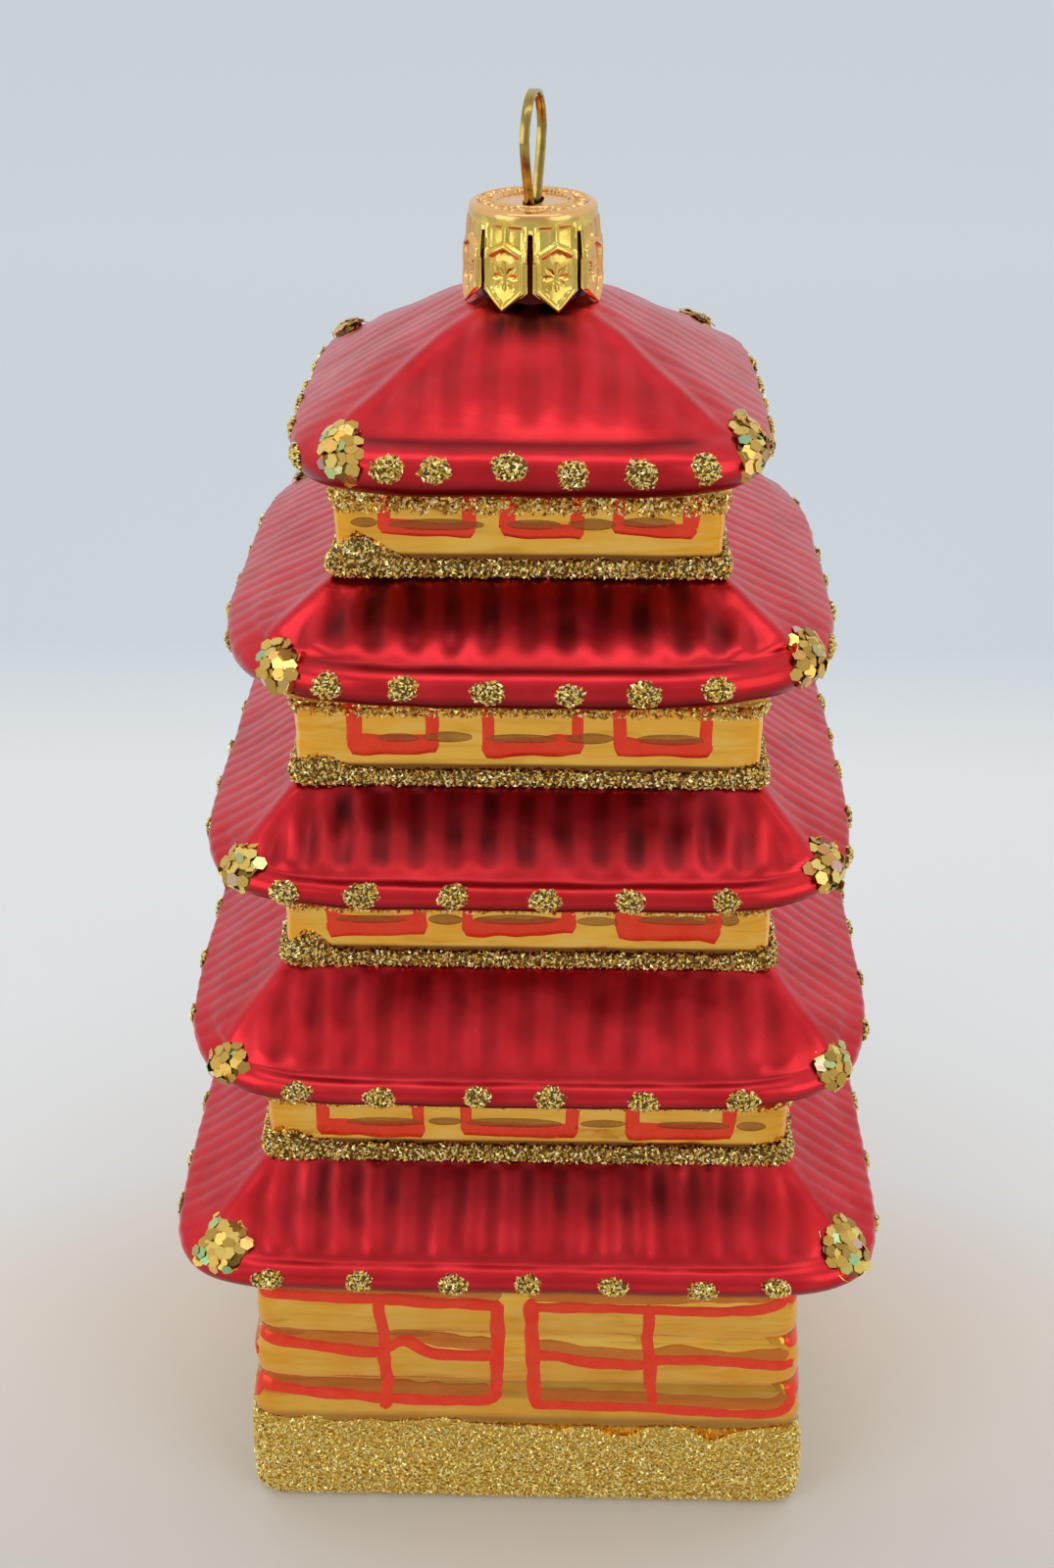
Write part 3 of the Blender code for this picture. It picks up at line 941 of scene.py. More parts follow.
# A stroke's section: shares of its half width and of its thickness.
STROKE_SECTION = (
    (-1.0, 0.0), (-0.86, 0.8), (-0.4, 1.0), (0.4, 1.0), (0.86, 0.8), (1.0, 0.0), (0.5, -1.5), (-0.5, -1.5),
)
STROKE_WOBBLE = 0.10
WOBBLE_LENGTHS = (2.2, 2.6)
SQUARE_END = 0.25
STROKE_TIP = 0.06
STROKE_SEEDS = 50
# Where each stroke's wobble in width and in course is read from the noise: a step a seed, and a row.
WIDTH_NOISE = (3.7, 0.5)
COURSE_NOISE = (5.1, 9.5)


def smooth_path(points, step):
    """Points every step along a curve through the given ones."""
    given = [Vector(point) for point in points]
    ends = [2 * given[0] - given[1], *given, 2 * given[-1] - given[-2]]
    path = []
    for before, start, end, after in zip(ends, ends[1:], ends[2:], ends[3:]):
        count = max(2, ceil((end - start).length / step))
        for index in range(count):
            t = index / count
            path.append(0.5 * (
                2 * start + (end - before) * t + (2 * before - 5 * start + 4 * end - after) * t * t
                + (3 * start - before - 3 * end + after) * t * t * t
            ))
    return path + [given[-1]]


def headings(path):
    """Each point of a path with the direction of the path there."""
    for index, spot in enumerate(path):
        yield spot, (path[min(index + 1, len(path) - 1)] - path[max(index - 1, 0)]).normalized()


def stroke_noise(along, seed, step, row):
    return noise.noise(Vector((along, seed * step, row)))


def brush(bm, wall, side, points, width, seed, square=False, thickness=PAINT_THICKNESS):
    """One brush stroke on a wall: a thin bead of paint with rounded ends and a hand's wobble."""
    path = smooth_path(points, STROKE_STEP)
    runs = [0.0]
    for before, after in zip(path, path[1:]):
        runs.append(runs[-1] + (after - before).length)
    width_length, course_length = WOBBLE_LENGTHS
    sections = []
    for run, (spot, ahead) in zip(runs, headings(path)):
        across = ahead.orthogonal()
        wobble = stroke_noise(run / width_length, seed, *WIDTH_NOISE)
        course = stroke_noise(run / course_length, seed, *COURSE_NOISE)
        half = width / 2 * (1 + STROKE_WOBBLE * wobble * 2)
        to_end = min(run, runs[-1] - run) / (SQUARE_END * half if square else half)
        half *= sqrt(max(STROKE_TIP, 1 - (1 - min(1.0, to_end)) ** 2))
        centre = spot + across * STROKE_WOBBLE * course * width
        section = []
        for share, lift in STROKE_SECTION:
            flat = centre + across * half * share
            section.append(wall.point(side * wall.perimeter.side + flat.x, flat.y, lift * thickness))
        sections.append(section)
    add_tube(bm, sections)


WINDOWS = (
    ((-14.9, -5.3), (-2.8, 5.4), (8.1, 16.5)),
    ((-18.4, -9.1), (-4.7, 5.7), (8.8, 18.8)),
    ((-21.5, -10.7), (-7.0, 5.2), (9.5, 20.5)),
    ((-23.5, -11.4), (-7.4, 5.7), (11.0, 23.1)),
)
SILLS = (124.5, 102.9, 81.8, 56.6)
SILL_WIDTHS = (1.6, 2.3, 2.6, 2.3)
SILL_DROP = 0.15
BAR_WIDTH = 1.35
POST_ABOVE = 0.4
POST_BELOW = 0.2
SILL_TILT = 0.3
POST_WIDTH_RANGE = (0.85, 1.2)
LINE_WIDTH_RANGE = (0.9, 1.1)
# How far a hand misses its mark.
SLIP = 0.2


def make_window_frames(number, finish):
    """Three painted frames on each side of a storey: two posts and a sill, open at the top."""
    storey = STOREYS[number]
    wall = wall_surface(storey)
    rng = random.Random(10 + number)
    bm = bmesh.new()
    for side in range(SIDES):
        for left, right in WINDOWS[number]:
            sill = SILLS[number] + rng.uniform(-SLIP, SLIP)
            for across in (left + BAR_WIDTH / 2, right - BAR_WIDTH / 2):
                lean = rng.uniform(-SLIP, SLIP)
                post = ((across + lean, storey.wall_top - POST_ABOVE), (across, sill - POST_BELOW))
                width = BAR_WIDTH * rng.uniform(*POST_WIDTH_RANGE)
                brush(bm, wall, side, post, width, rng.random() * STROKE_SEEDS, square=True)
            dip = rng.uniform(-SILL_TILT, SILL_TILT)
            bar = ((left, sill - dip), ((left + right) / 2, sill - SILL_DROP), (right, sill + dip))
            width = SILL_WIDTHS[number] * rng.uniform(*LINE_WIDTH_RANGE)
            brush(bm, wall, side, bar, width, rng.random() * STROKE_SEEDS, square=True)
    return add_piece(f"painted_frames_{number + 1}", bm, finish, [])


# Where each lens of painted dark reflection starts and ends along its side, storey by storey.
REFLECTION_LENSES = (
    ((-17.5, -14.9), (-13.9, -4.3), (-2.3, 3.2), (3.8, 8.6), (8.9, 14.4)),
    ((-15.4, -11.0), (-10.7, -5.6), (-4.3, 3.2), (3.7, 8.8), (11.1, 17.9)),
    ((-20.5, -12.8), (-10.6, -6.8), (-5.7, 3.2), (5.2, 9.7), (11.6, 20.1), (20.4, 22.5)),
    ((-20.1, -11.4), (-11.0, -7.2), (-7.0, 4.0), (5.9, 11.1), (14.4, 22.8), (23.4, 26.7)),
)
LENS_RAISE = 0.35
LENS_HEIGHTS = (1.0, 1.4)
LENS_TIP = 0.015
LENS_LEAST_STEPS = 8
LENS_THICKNESS = 1.25 * PAINT_THICKNESS


def lens(bm, wall, side, start, end, z, height):
    """A flat pointed ellipse, just proud of the paint below it."""
    sections = []
    count = max(LENS_LEAST_STEPS, ceil((end - start) / STROKE_STEP))
    for index in range(count + 1):
        share = min(1.0 - LENS_TIP, max(LENS_TIP, index / count))
        half = height / 2 * sqrt(1 - (2 * share - 1) ** 2)
        distance = side * wall.perimeter.side + start + (end - start) * share
        sections.append([
            wall.point(distance, z + half * across, LENS_THICKNESS * lift) for across, lift in STROKE_SECTION
        ])
    add_tube(bm, sections)


def make_reflection_lenses(number, finish):
    """Long lenses of painted dark reflection, amber over the frames' sills and the gold between them."""
    wall = wall_surface(STOREYS[number])
    rng = random.Random(30 + number)
    bm = bmesh.new()
    for side in range(SIDES):
        for start, end in REFLECTION_LENSES[number]:
            z = SILLS[number] + LENS_RAISE * SILL_WIDTHS[number] + rng.uniform(-SLIP, SLIP)
            lens(bm, wall, side, start, end, z, rng.uniform(*LENS_HEIGHTS))
    return add_piece(f"amber_touches_{number + 1}", bm, finish, [])


# The base's painted windows: level lines from the top down at the left, then at the right, and posts.
GRID_LEFT = -33.2
GRID_RIGHT = 31.6
GRID_LINES = (
    ((GRID_LEFT, 33.3), (-29.6, 33.0), (-17.0, 32.6), (-3.0, 31.9)),
    (
        (GRID_LEFT, 26.6), (-30.0, 26.0), (-19.4, 24.7), (-17.0, 25.2), (-14.6, 26.2), (-11.0, 24.6),
        (-3.4, 24.3),
    ),
    ((GRID_LEFT, 19.4), (-31.1, 18.8), (-18.5, 17.6), (-7.0, 17.2), (-4.2, 17.6), (-3.3, 19.2)),
    ((0.2, 32.0), (14.3, 31.8), (27.2, 31.9), (GRID_RIGHT, 33.4)),
    (
        (0.4, 24.5), (3.8, 24.5), (7.4, 23.6), (14.1, 23.4), (16.0, 24.1), (21.7, 24.2), (30.8, 23.6),
        (GRID_RIGHT, 24.2),
    ),
    ((0.6, 16.9), (14.8, 16.6), (28.1, 15.9), (31.8, 17.6), (GRID_RIGHT, 18.6)),
)
GRID_POSTS = (
    ((-17.8, 32.8), (-17.3, 27.7), (-16.9, 21.1), (-16.7, 15.9)),
    ((-3.5, 32.6), (-3.5, 26.3), (-3.7, 18.4)),
    ((0.6, 33.0), (0.7, 26.4), (1.0, 16.8)),
    ((14.6, 32.5), (14.7, 26.7), (15.1, 17.2)),
)
LINE_WIDTH = 1.5
POST_WIDTHS = (1.5, 1.7, 1.7, 1.5)


def make_painted_grid(finish):
    """Two four-pane windows on each side of the base, whose outer ends run round the corners."""
    wall = base_surface()
    rng = random.Random(50)
    bm = bmesh.new()
    for side in range(SIDES):
        for points in GRID_LINES:
            width = LINE_WIDTH * rng.uniform(*LINE_WIDTH_RANGE)
            brush(bm, wall, side, points, width, rng.random() * STROKE_SEEDS)
        for points, width in zip(GRID_POSTS, POST_WIDTHS):
            brush(bm, wall, side, points, width, rng.random() * STROKE_SEEDS)
    return add_piece("painted_grid", bm, finish, [])


# Bands of painted reflection above the base's level lines.
REFLECTION_BANDS = (
    ((GRID_LEFT, 34.0), (-17.0, 33.9), (-3.0, 33.4)),
    ((0.2, 33.6), (14.3, 33.4), (GRID_RIGHT, 34.0)),
    ((GRID_LEFT, 27.2), (-19.4, 26.3), (-14.6, 27.2), (-9.1, 26.2), (-3.4, 25.8)),
    ((0.4, 25.4), (3.8, 25.8), (7.4, 25.0), (14.1, 24.8), (19.2, 25.4), (24.0, 24.7), (GRID_RIGHT, 25.2)),
    ((GRID_LEFT, 20.3), (-31.1, 19.9), (-18.5, 18.9), (-7.0, 18.6), (-4.2, 18.8)),
    ((0.6, 18.4), (14.8, 18.0), (28.1, 17.4), (GRID_RIGHT, 18.6)),
)
REFLECTION_BAND_WIDTH = 1.7
REFLECTION_BAND_THICKNESS = 0.5 * PAINT_THICKNESS


def make_reflection_bands(finish):
    """Thin orange bands above the level strokes: a painted reflection of the paint in the silvering below the
    glass.
    """
    wall = base_surface()
    rng = random.Random(70)
    bm = bmesh.new()
    for side in range(SIDES):
        for points in REFLECTION_BANDS:
            brush(bm, wall, side, points, REFLECTION_BAND_WIDTH, rng.random() * STROKE_SEEDS, thickness=REFLECTION_BAND_THICKNESS)
    return add_piece("orange_paint_reflection", bm, finish, [])


# Glitter: grains or flakes strewn on a bed of glue.

GRAIN_RADIUS = 0.27
GRAIN_DEPTH = 0.16
FLAKE_RADIUS = 0.78
FLAKE_DEPTH = 0.10
# The tints of single grains; lower ones are the bed's.
FULL_TINTS = (0.08, 1.0)


def grain(graph):
    """A three-sided chip."""
    return graph.node("GeometryNodeMeshCone", {
        "Vertices": 3, "Radius Top": 0.0, "Radius Bottom": GRAIN_RADIUS * MM, "Depth": GRAIN_DEPTH * MM,
    }).outputs["Mesh"]


def flake(graph):
    """A six-sided foil flake."""
    return graph.node("GeometryNodeMeshCylinder", {
        "Vertices": 6, "Radius": FLAKE_RADIUS * MM, "Depth": FLAKE_DEPTH * MM,
    }).outputs["Mesh"]


class Strewing(NamedTuple):
    """What is strewn: how many a square mm, sizes, tilt in degrees, rise off the bed and spacing in mm."""

    kind: object
    density: float
    scales: tuple
    tilt: float
    rise: float
    spacing: float = 0.0
    tints: tuple = FULL_TINTS
    keep_bed: bool = True


BAND_GRAINS = Strewing(grain, 11.0, (0.7, 1.35), 60, 0.16)
TOP_GRAINS = BAND_GRAINS._replace(density=13.0, keep_bed=False)
PLINTH_GRAINS = BAND_GRAINS._replace(density=10.0, tints=(0.34, 0.85))
DOT_GRAINS = BAND_GRAINS._replace(density=13.0, scales=(0.7, 1.3))
CLUSTER_FLAKES = Strewing(flake, 9.0, (0.88, 1.05), 12, 0.35, 0.80)


def random_vector(graph, low, high, seed):
    given = {0: low, 1: high, "Seed": seed}
    return graph.node("FunctionNodeRandomValue", given, data_type="FLOAT_VECTOR").outputs[0]


def random_number(graph, low, high, seed):
    given = {2: low, 3: high, "Seed": seed}
    return graph.node("FunctionNodeRandomValue", given, data_type="FLOAT").outputs[1]


def scatter_points(graph, bed, strewing, seed):
    """Points on the bed, as dense as its cover attribute says, and apart where a spacing is given."""
    cover = graph.node("GeometryNodeInputNamedAttribute", {"Name": "cover"}, data_type="FLOAT").outputs[0]
    density = strewing.density / MM ** 2
    points = graph.node("GeometryNodeDistributePointsOnFaces", {"Mesh": bed, "Seed": seed})
    if strewing.spacing:
        points.distribute_method = "POISSON"
        graph.feed(points.inputs["Distance Min"], strewing.spacing * MM)
        graph.feed(points.inputs["Density Max"], density)
        graph.feed(points.inputs["Density Factor"], cover)
    else:
        graph.feed(points.inputs["Density"], graph.math("MULTIPLY", cover, density))
    return points.outputs


def strew(bed, strewing, seed):
    """Strew grains or flakes over a bed, in one mesh with it when the bed is kept; each carries its own tint.
    """
    tree = bpy.data.node_groups.new(f"{bed.name}_strewing", "GeometryNodeTree")
    for way in ("INPUT", "OUTPUT"):
        tree.interface.new_socket("Geometry", in_out=way, socket_type="NodeSocketGeometry")
    graph = Graph(tree)
    bed_in = graph.node("NodeGroupInput").outputs[0]
    points = scatter_points(graph, bed_in, strewing, seed)
    tilt = radians(strewing.tilt)
    turn = random_vector(graph, (-tilt, -tilt, -pi), (tilt, tilt, pi), seed + 1)
    turned = graph.node("FunctionNodeRotateRotation", {
        "Rotation": points["Rotation"],
        "Rotate By": graph.node("FunctionNodeEulerToRotation", {"Euler": turn}).outputs[0],
    }, rotation_space="LOCAL").outputs[0]
    placed = graph.node("GeometryNodeInstanceOnPoints", {
        "Points": points["Points"], "Instance": strewing.kind(graph), "Rotation": turned,
        "Scale": random_number(graph, *strewing.scales, seed + 2),
    }).outputs[0]
    raised = graph.node("GeometryNodeTranslateInstances", {
        "Instances": placed,
        "Translation": random_vector(graph, (0.0, 0.0, 0.0), (0.0, 0.0, strewing.rise * MM), seed + 3),
    }).outputs[0]
    tinted = graph.node("GeometryNodeStoreNamedAttribute", {
        "Geometry": raised, "Name": "tint",
    }, data_type="FLOAT", domain="INSTANCE")
    graph.feed(tinted.inputs["Value"], random_number(graph, *strewing.tints, seed + 4))
    real = graph.node("GeometryNodeRealizeInstances", {"Geometry": tinted.outputs[0]}).outputs[0]
    joined = graph.node("GeometryNodeJoinGeometry")
    tree.links.new(real, joined.inputs[0])
    if strewing.keep_bed:
        tree.links.new(bed_in, joined.inputs[0])
    graph.feed(graph.node("NodeGroupOutput").inputs[0], joined.outputs[0])
    bake_nodes(bed, tree)


def bake_nodes(piece, tree):
    """Run geometry nodes on a piece once and keep the mesh they make."""
    piece.modifiers.new("strewing", "NODES").node_group = tree
    evaluated = piece.evaluated_get(bpy.context.evaluated_depsgraph_get())
    mesh = bpy.data.meshes.new_from_object(evaluated)
    mesh.name = piece.name
    piece.modifiers.clear()
    finish = piece.data.materials[0]
    piece.data = mesh
    mesh.materials.clear()
    mesh.materials.append(finish)


# Bands of fine glitter. A section's points are shares of the band's thickness and of its height.

FOOT_BAND_HEIGHTS = (1.6, 1.5, 1.5, 1.9)
FOOT_BAND_THICKNESS = 0.7
FOOT_BAND_SECTION = ((0.0, 1.0), (0.55, 0.95), (0.95, 0.65), (1.0, 0.35), (0.8, 0.05), (0.0, 0.0))
TOP_BAND_HEIGHTS = (3.1, 2.1, 1.7, 1.6)
TOP_BAND_THICKNESS = 0.3
TOP_BAND_RAISE = (0.8, 0.0, -0.1, -0.1)
TOP_BAND_COVERS = (1.0, 0.35, 0.25, 0.25)
TOP_BAND_SECTION = ((0.0, 1.0), (0.8, 0.8), (1.0, 0.4), (0.0, 0.0))
PATCH_SIZE = 3.0
PATCH_EDGES = (-0.4, 0.3)
# How much of a band's heaping shows in its thickness and in its height.
HEAP_OUTWARD = 0.4
HEAP_UPWARD = 0.6
# Which faces of a bed get grains: those that don't lean in to the glass, nor look straight down.
INWARD_LIMIT = -0.3
DOWNWARD_LIMIT = -0.9
WELD_DISTANCE = 0.001
# Heaps of glitter at a storey's corners, from the front right one round: how thick, long and far off.
CORNER_HEAPS = (
    (0.5, 0.3, 0.4, 2.6),
    (0.8, 0.3, 0.3, 1.8),
    (0.7, 0.3, 0.6, 2.7),
    (0.5, 0.4, 0.3, 1.4),
)
HEAP_LENGTHS = (3.0, 2.6, 1.7, 2.6)
HEAP_OFFSETS = (-1.0, 0.5, 0.0, 2.4)
HEAP_NOISE = 0.5
HEAP_NOISE_LENGTH = 1.3


def band_outlines(angles, section, inner, thickness, low, height, swell):
    """A band's outlines round the tower; swell(angle, share) is how much glitter has heaped there."""
    outlines = []
    for outward, upward in section:
        points = []
        for angle in angles:
            more = swell(angle, upward)
            half = inner + outward * thickness * (1 + HEAP_OUTWARD * more)
            z = low + upward * height * (1 + HEAP_UPWARD * more)
            points.append(polar(plan_radius(half, WALL_SQUARENESS, angle), angle, z))
        outlines.append(points)
    return outlines


def make_band(name, node, outlines, finish, strewing, seed, cover=lambda point: 1.0, bed_tint=0.0):
    """A closed band with grains on all but the side that lies against the glass."""
    bm = bmesh.new()
    tint = bm.verts.layers.float.new("tint")
    skin(bm, outlines + outlines[:1])
    bmesh.ops.remove_doubles(bm, verts=bm.verts, dist=WELD_DISTANCE * MM)
    face_out(bm)
    for vert in bm.verts:
        vert[tint] = bed_tint
    layer = bm.faces.layers.float.new("cover")
    for face in bm.faces:
        point = face.calc_center_median() / MM
        outward = face.normal.dot(Vector((point.x, point.y, 0)).normalized())
        open_face = outward > INWARD_LIMIT and face.normal.z > DOWNWARD_LIMIT
        face[layer] = cover(point) if open_face else 0.0
    strew(add_piece(name, bm, finish, [node], flat=True), strewing, seed)


def heaps(number, perimeter, seed):
    """How much glitter has heaped in each direction: most beside the corners, unevenly between."""
    middles = [(side + 0.5) * perimeter.side + off for side, off in enumerate(HEAP_OFFSETS)]
    half_way = perimeter.side * SIDES / 2

    def swell(angle, upward):
        distance = np.interp(angle, perimeter.angles, perimeter.run)
        more = HEAP_NOISE * noise.noise(Vector((distance / HEAP_NOISE_LENGTH, seed, upward)))
        for corner, heap in zip(middles, CORNER_HEAPS[number]):
            off = abs((distance - corner + half_way) % (2 * half_way) - half_way)
            more += heap * bell(off, HEAP_LENGTHS[number])
        return more

    return swell


def make_foot_band(number, finish):
    storey = STOREYS[number]
    perimeter = wall_perimeter(storey)
    outlines = band_outlines(
        perimeter.even_angles(WALL_COLUMNS), FOOT_BAND_SECTION, storey.wall_half, FOOT_BAND_THICKNESS,
        storey.wall_foot, FOOT_BAND_HEIGHTS[number], heaps(number, perimeter, 3.0 * number),
    )
    name, node = f"foot_glitter_{number + 1}", f"glitter_foot_{number + 1}"
    make_band(name, node, outlines, finish, BAND_GRAINS, 100 + number)


def make_top_band(number, finish):
    """The thin line of glitter under an eave, worn to patches on the lower storeys."""
    storey = STOREYS[number]
    perimeter = wall_perimeter(storey)
    height = TOP_BAND_HEIGHTS[number]
    outlines = band_outlines(
        perimeter.even_angles(WALL_COLUMNS), TOP_BAND_SECTION, storey.wall_half, TOP_BAND_THICKNESS,
        storey.wall_top - height + TOP_BAND_RAISE[number], height, heaps(number, perimeter, 40.0 + number),
    )

    def patchy(point):
        least = TOP_BAND_COVERS[number]
        return mix(least, 1.0, smooth_step(ripple(point, PATCH_SIZE, number + 5), *PATCH_EDGES))

    name, node = f"top_glitter_{number + 1}", f"glitter_top_{number + 1}"
    make_band(name, node, outlines, finish, TOP_GRAINS, 120 + number, patchy)


# The plinth's broad band, whose upper edge is a little uneven and falls to the right.

PLINTH_LOW = 0.3
PLINTH_TOP = 13.0
PLINTH_THICKNESS = 1.0
PLINTH_LEAN = 0.045
PLINTH_SECTION = (
    (0.0, 1.0), (0.4, 0.98), (0.65, 0.92), (0.8, 0.8), (0.95, 0.62), (1.0, 0.42), (1.0, 0.24),
    (0.85, 0.12), (0.4, 0.04), (-0.4, 0.0), (-2.0, -0.01),
)
PLINTH_NOISE = 0.3
PLINTH_NOISE_LENGTH = 4.0
PLINTH_EDGE_WAVE = 0.15
PLINTH_EDGE_WAVE_SIZE = 1.5
PLINTH_EDGE_COVER = 0.7
PLINTH_EDGE_DEPTHS = (0.2, 1.4)
PLINTH_BED_TINT = 0.22


def make_plinth(finish):
    perimeter = Perimeter(BASE_HALF_FOOT, WALL_SQUARENESS)

    def swell(angle, upward):
        distance = np.interp(angle, perimeter.angles, perimeter.run)
        return PLINTH_NOISE * noise.noise(Vector((distance / PLINTH_NOISE_LENGTH, 2.0 * upward, 0.5)))

    def cover(point):
        below_edge = PLINTH_TOP - PLINTH_LEAN * point.x - point.z
        return mix(PLINTH_EDGE_COVER, 1.0, smooth_step(below_edge, *PLINTH_EDGE_DEPTHS))

    outlines = band_outlines(
        perimeter.even_angles(2 * WALL_COLUMNS), PLINTH_SECTION, BASE_HALF_FOOT, PLINTH_THICKNESS,
        PLINTH_LOW, PLINTH_TOP - PLINTH_LOW, swell,
    )
    for (_, upward), points in zip(PLINTH_SECTION, outlines):
        for point in points:
            wave = PLINTH_EDGE_WAVE * ripple(point, PLINTH_EDGE_WAVE_SIZE, 9)
            point.z -= upward * (PLINTH_LEAN * point.x + wave)
    make_band(
        "plinth_glitter", "glitter_plinth", outlines, finish, PLINTH_GRAINS, 140, cover, PLINTH_BED_TINT,
    )


# Dots along the eaves, and clusters of flakes at their corners. Turns round the roll are in degrees.

DOT_PLACES = (
    (-13.4, -8.9, -1.8, 4.3, 10.7, 17.1),
    (-19.4, -12.0, -3.7, 4.2, 11.3, 18.6),
    (-24.6, -16.6, -7.3, 2.0, 10.5, 20.2),
    (-24.2, -15.3, -5.0, 2.7, 12.4, 22.9),
    (-28.5, -18.4, -8.0, 0.4, 9.8, 19.6, 27.8),
)
DOT_TURNS = (22, 12, 18, 14, 8)
OTHER_DOT_TURNS = (0, -14, -14, -14, -14)
DOT_JITTER = 0.8
DOT_TURN_JITTER = 9
DOT_SIZES = (0.85, 1.15)
DOT_LENGTH = 1.45
DOT_HEIGHT = 1.15
DOT_RISE = 0.55
SIDE_DOT_RISE = 0.5 * DOT_RISE
CLUSTER_LENGTHS = (2.3, 2.4, 2.4, 2.3, 3.1)
CLUSTER_HEIGHTS = (2.9, 2.6, 2.5, 2.3, 2.8)
CLUSTER_SIZES = (0.92, 1.06)
CLUSTER_JITTER = 0.3
CLUSTER_RISE = 0.7
CLUSTER_TURNS = (50, 42, 62, 60, 96)
CLUSTER_LEANS = (0.7, 0.4, 0.3, 0.3, 0.3)
# How far along the eave each cluster lies from the middle of its corner, round to the right.
RIGHT_CLUSTERS = (2.7, 2.4, 1.8, 0.2, 0.2)
LEFT_CLUSTERS = (2.9, 2.5, 0.4, 0.8, 2.2)
# Past this turn a blob lies on the slope above the roll.
LEAVES_ROLL = 56.0
BLOB_ROUGHNESS = 0.36
BLOB_ROUGHNESS_PITCH = 2.3
BLOB_UNDERSIDE = -0.25
BLOB_SEEDS = 90


def on_eave(storey, angle, degrees, lift):
    """A point on a rounded eave, in a direction from the axis and round the roll; past it, on the slope."""
    half, z = roll_point(storey, min(degrees, LEAVES_ROLL), lift)
    turn = radians(min(degrees, LEAVES_ROLL))
    up_slope = storey.roll * radians(max(0.0, degrees - LEAVES_ROLL))
    radius = plan_radius(half - up_slope * sin(turn), storey.squareness, angle)
    return polar(radius, angle, z + up_slope * cos(turn))


class Blob(NamedTuple):
    """A flattened bead's half sizes in mm, where it lies on an eave, and how it leans as it rises."""

    length: float
    height: float
    rise: float
    distance: float
    turn: float
    seed: float
    lean: float = 0.0


def press_blob(bm, layer, storey, perimeter, blob):
    """Lay a bead on the eave, bent to follow the roll; its upper side is to be covered."""
    bead = bmesh.ops.create_icosphere(bm, subdivisions=3, radius=1.0)["verts"]
    for vert in bead:
        local = vert.co.copy()
        shift = Vector((blob.seed, blob.seed, 0))
        rough = 1 + BLOB_ROUGHNESS * noise.noise(local * BLOB_ROUGHNESS_PITCH + shift)
        along = local.x * blob.length * rough + blob.lean * local.y * blob.height
        angle = perimeter.angle(blob.distance + along)
        degrees = blob.turn + np.degrees(local.y * blob.height * rough / storey.roll)
        vert.co = on_eave(storey, angle, degrees, local.z * blob.rise) * MM
        vert[layer] = 1.0 if local.z > BLOB_UNDERSIDE else 0.0


def make_eave_dots(number, finish):
    """Dots of glitter in a row along each side of an eave."""
    storey = STOREYS[number]
    perimeter = Perimeter(storey.eave_half, storey.squareness)
    rng = random.Random(80 + number)
    bm = bmesh.new()
    layer = bm.verts.layers.float.new("cover")
    for side in range(SIDES):
        turns, rise = (OTHER_DOT_TURNS, SIDE_DOT_RISE) if side % 2 else (DOT_TURNS, DOT_RISE)
        for across in DOT_PLACES[number]:
            jitter = 0.0 if side == 0 else rng.uniform(-DOT_JITTER, DOT_JITTER)
            turn = turns[number] + rng.uniform(-DOT_TURN_JITTER, DOT_TURN_JITTER)
            length = DOT_LENGTH * rng.uniform(*DOT_SIZES)
            height = DOT_HEIGHT * rng.uniform(*DOT_SIZES)
            distance = side * perimeter.side + across + jitter
            blob = Blob(length, height, rise, distance, turn, rng.random() * BLOB_SEEDS)
            press_blob(bm, layer, storey, perimeter, blob)
    bed = add_piece(f"eave_dots_{number + 1}", bm, finish, [], flat=True)
    strew(bed, DOT_GRAINS, 160 + number)


def make_flake_clusters(finish):
    """A heap of overlapping flakes near each corner of each roof."""
    rng = random.Random(200)
    for number, storey in enumerate(STOREYS):
        perimeter = Perimeter(storey.eave_half, storey.squareness)
        for side, corner in enumerate(CORNERS):
            bm = bmesh.new()
            layer = bm.verts.layers.float.new("cover")
            to_right = side % 2 == 0
            off = (RIGHT_CLUSTERS if to_right else LEFT_CLUSTERS)[number]
            lean = CLUSTER_LEANS[number] if to_right else -CLUSTER_LEANS[number]
            distance = (side + 0.5) * perimeter.side + off + rng.uniform(-CLUSTER_JITTER, CLUSTER_JITTER)
            size = rng.uniform(*CLUSTER_SIZES)
            length, height = CLUSTER_LENGTHS[number] * size, CLUSTER_HEIGHTS[number] * size
            seed = rng.random() * BLOB_SEEDS
            blob = Blob(length, height, CLUSTER_RISE, distance, CLUSTER_TURNS[number], seed, lean)
            press_blob(bm, layer, storey, perimeter, blob)
            name, node = f"flake_cluster_{number + 1}_{corner}", f"flakes_{number + 1}_{corner}"
            bed = add_piece(name, bm, finish, [node], flat=True)
            strew(bed, CLUSTER_FLAKES, 220 + SIDES * number + side)


# Crown cap: a pressed cup with a slotted top and eight pointed petals. Angles are in degrees.

CAP_RIM_RADIUS = 6.5
CAP_SKIRT_RADIUS = 6.85
CAP_TOP = 152.0
CAP_TIP = 142.4
CAP_SHEET = 0.22
CAP_RIM_ROUNDING = 0.65
SKIRT_WIDENS_BY = 5.0
PETALS = 8
PETAL_POINT = 1.9
PETAL_TIP_WIDTH = 0.04
PETAL_FLARE = 0.25
PETAL_FLARE_HEIGHT = 3.0
PETAL_COLUMNS = 30
SLIT_COLUMNS = 2
SKIRT_ROWS = 56
DISC_ROWS = 30
RIM_ROWS = 6
SLIT_TOP = 150.0
SLIT_ANGLE = 4.5
SLIT_DIRECTION = -91.5
SLOT_HALF_LENGTH = 2.7
SLOT_HALF_WIDTH = 0.95
LOOP_DIRECTION = 80.0

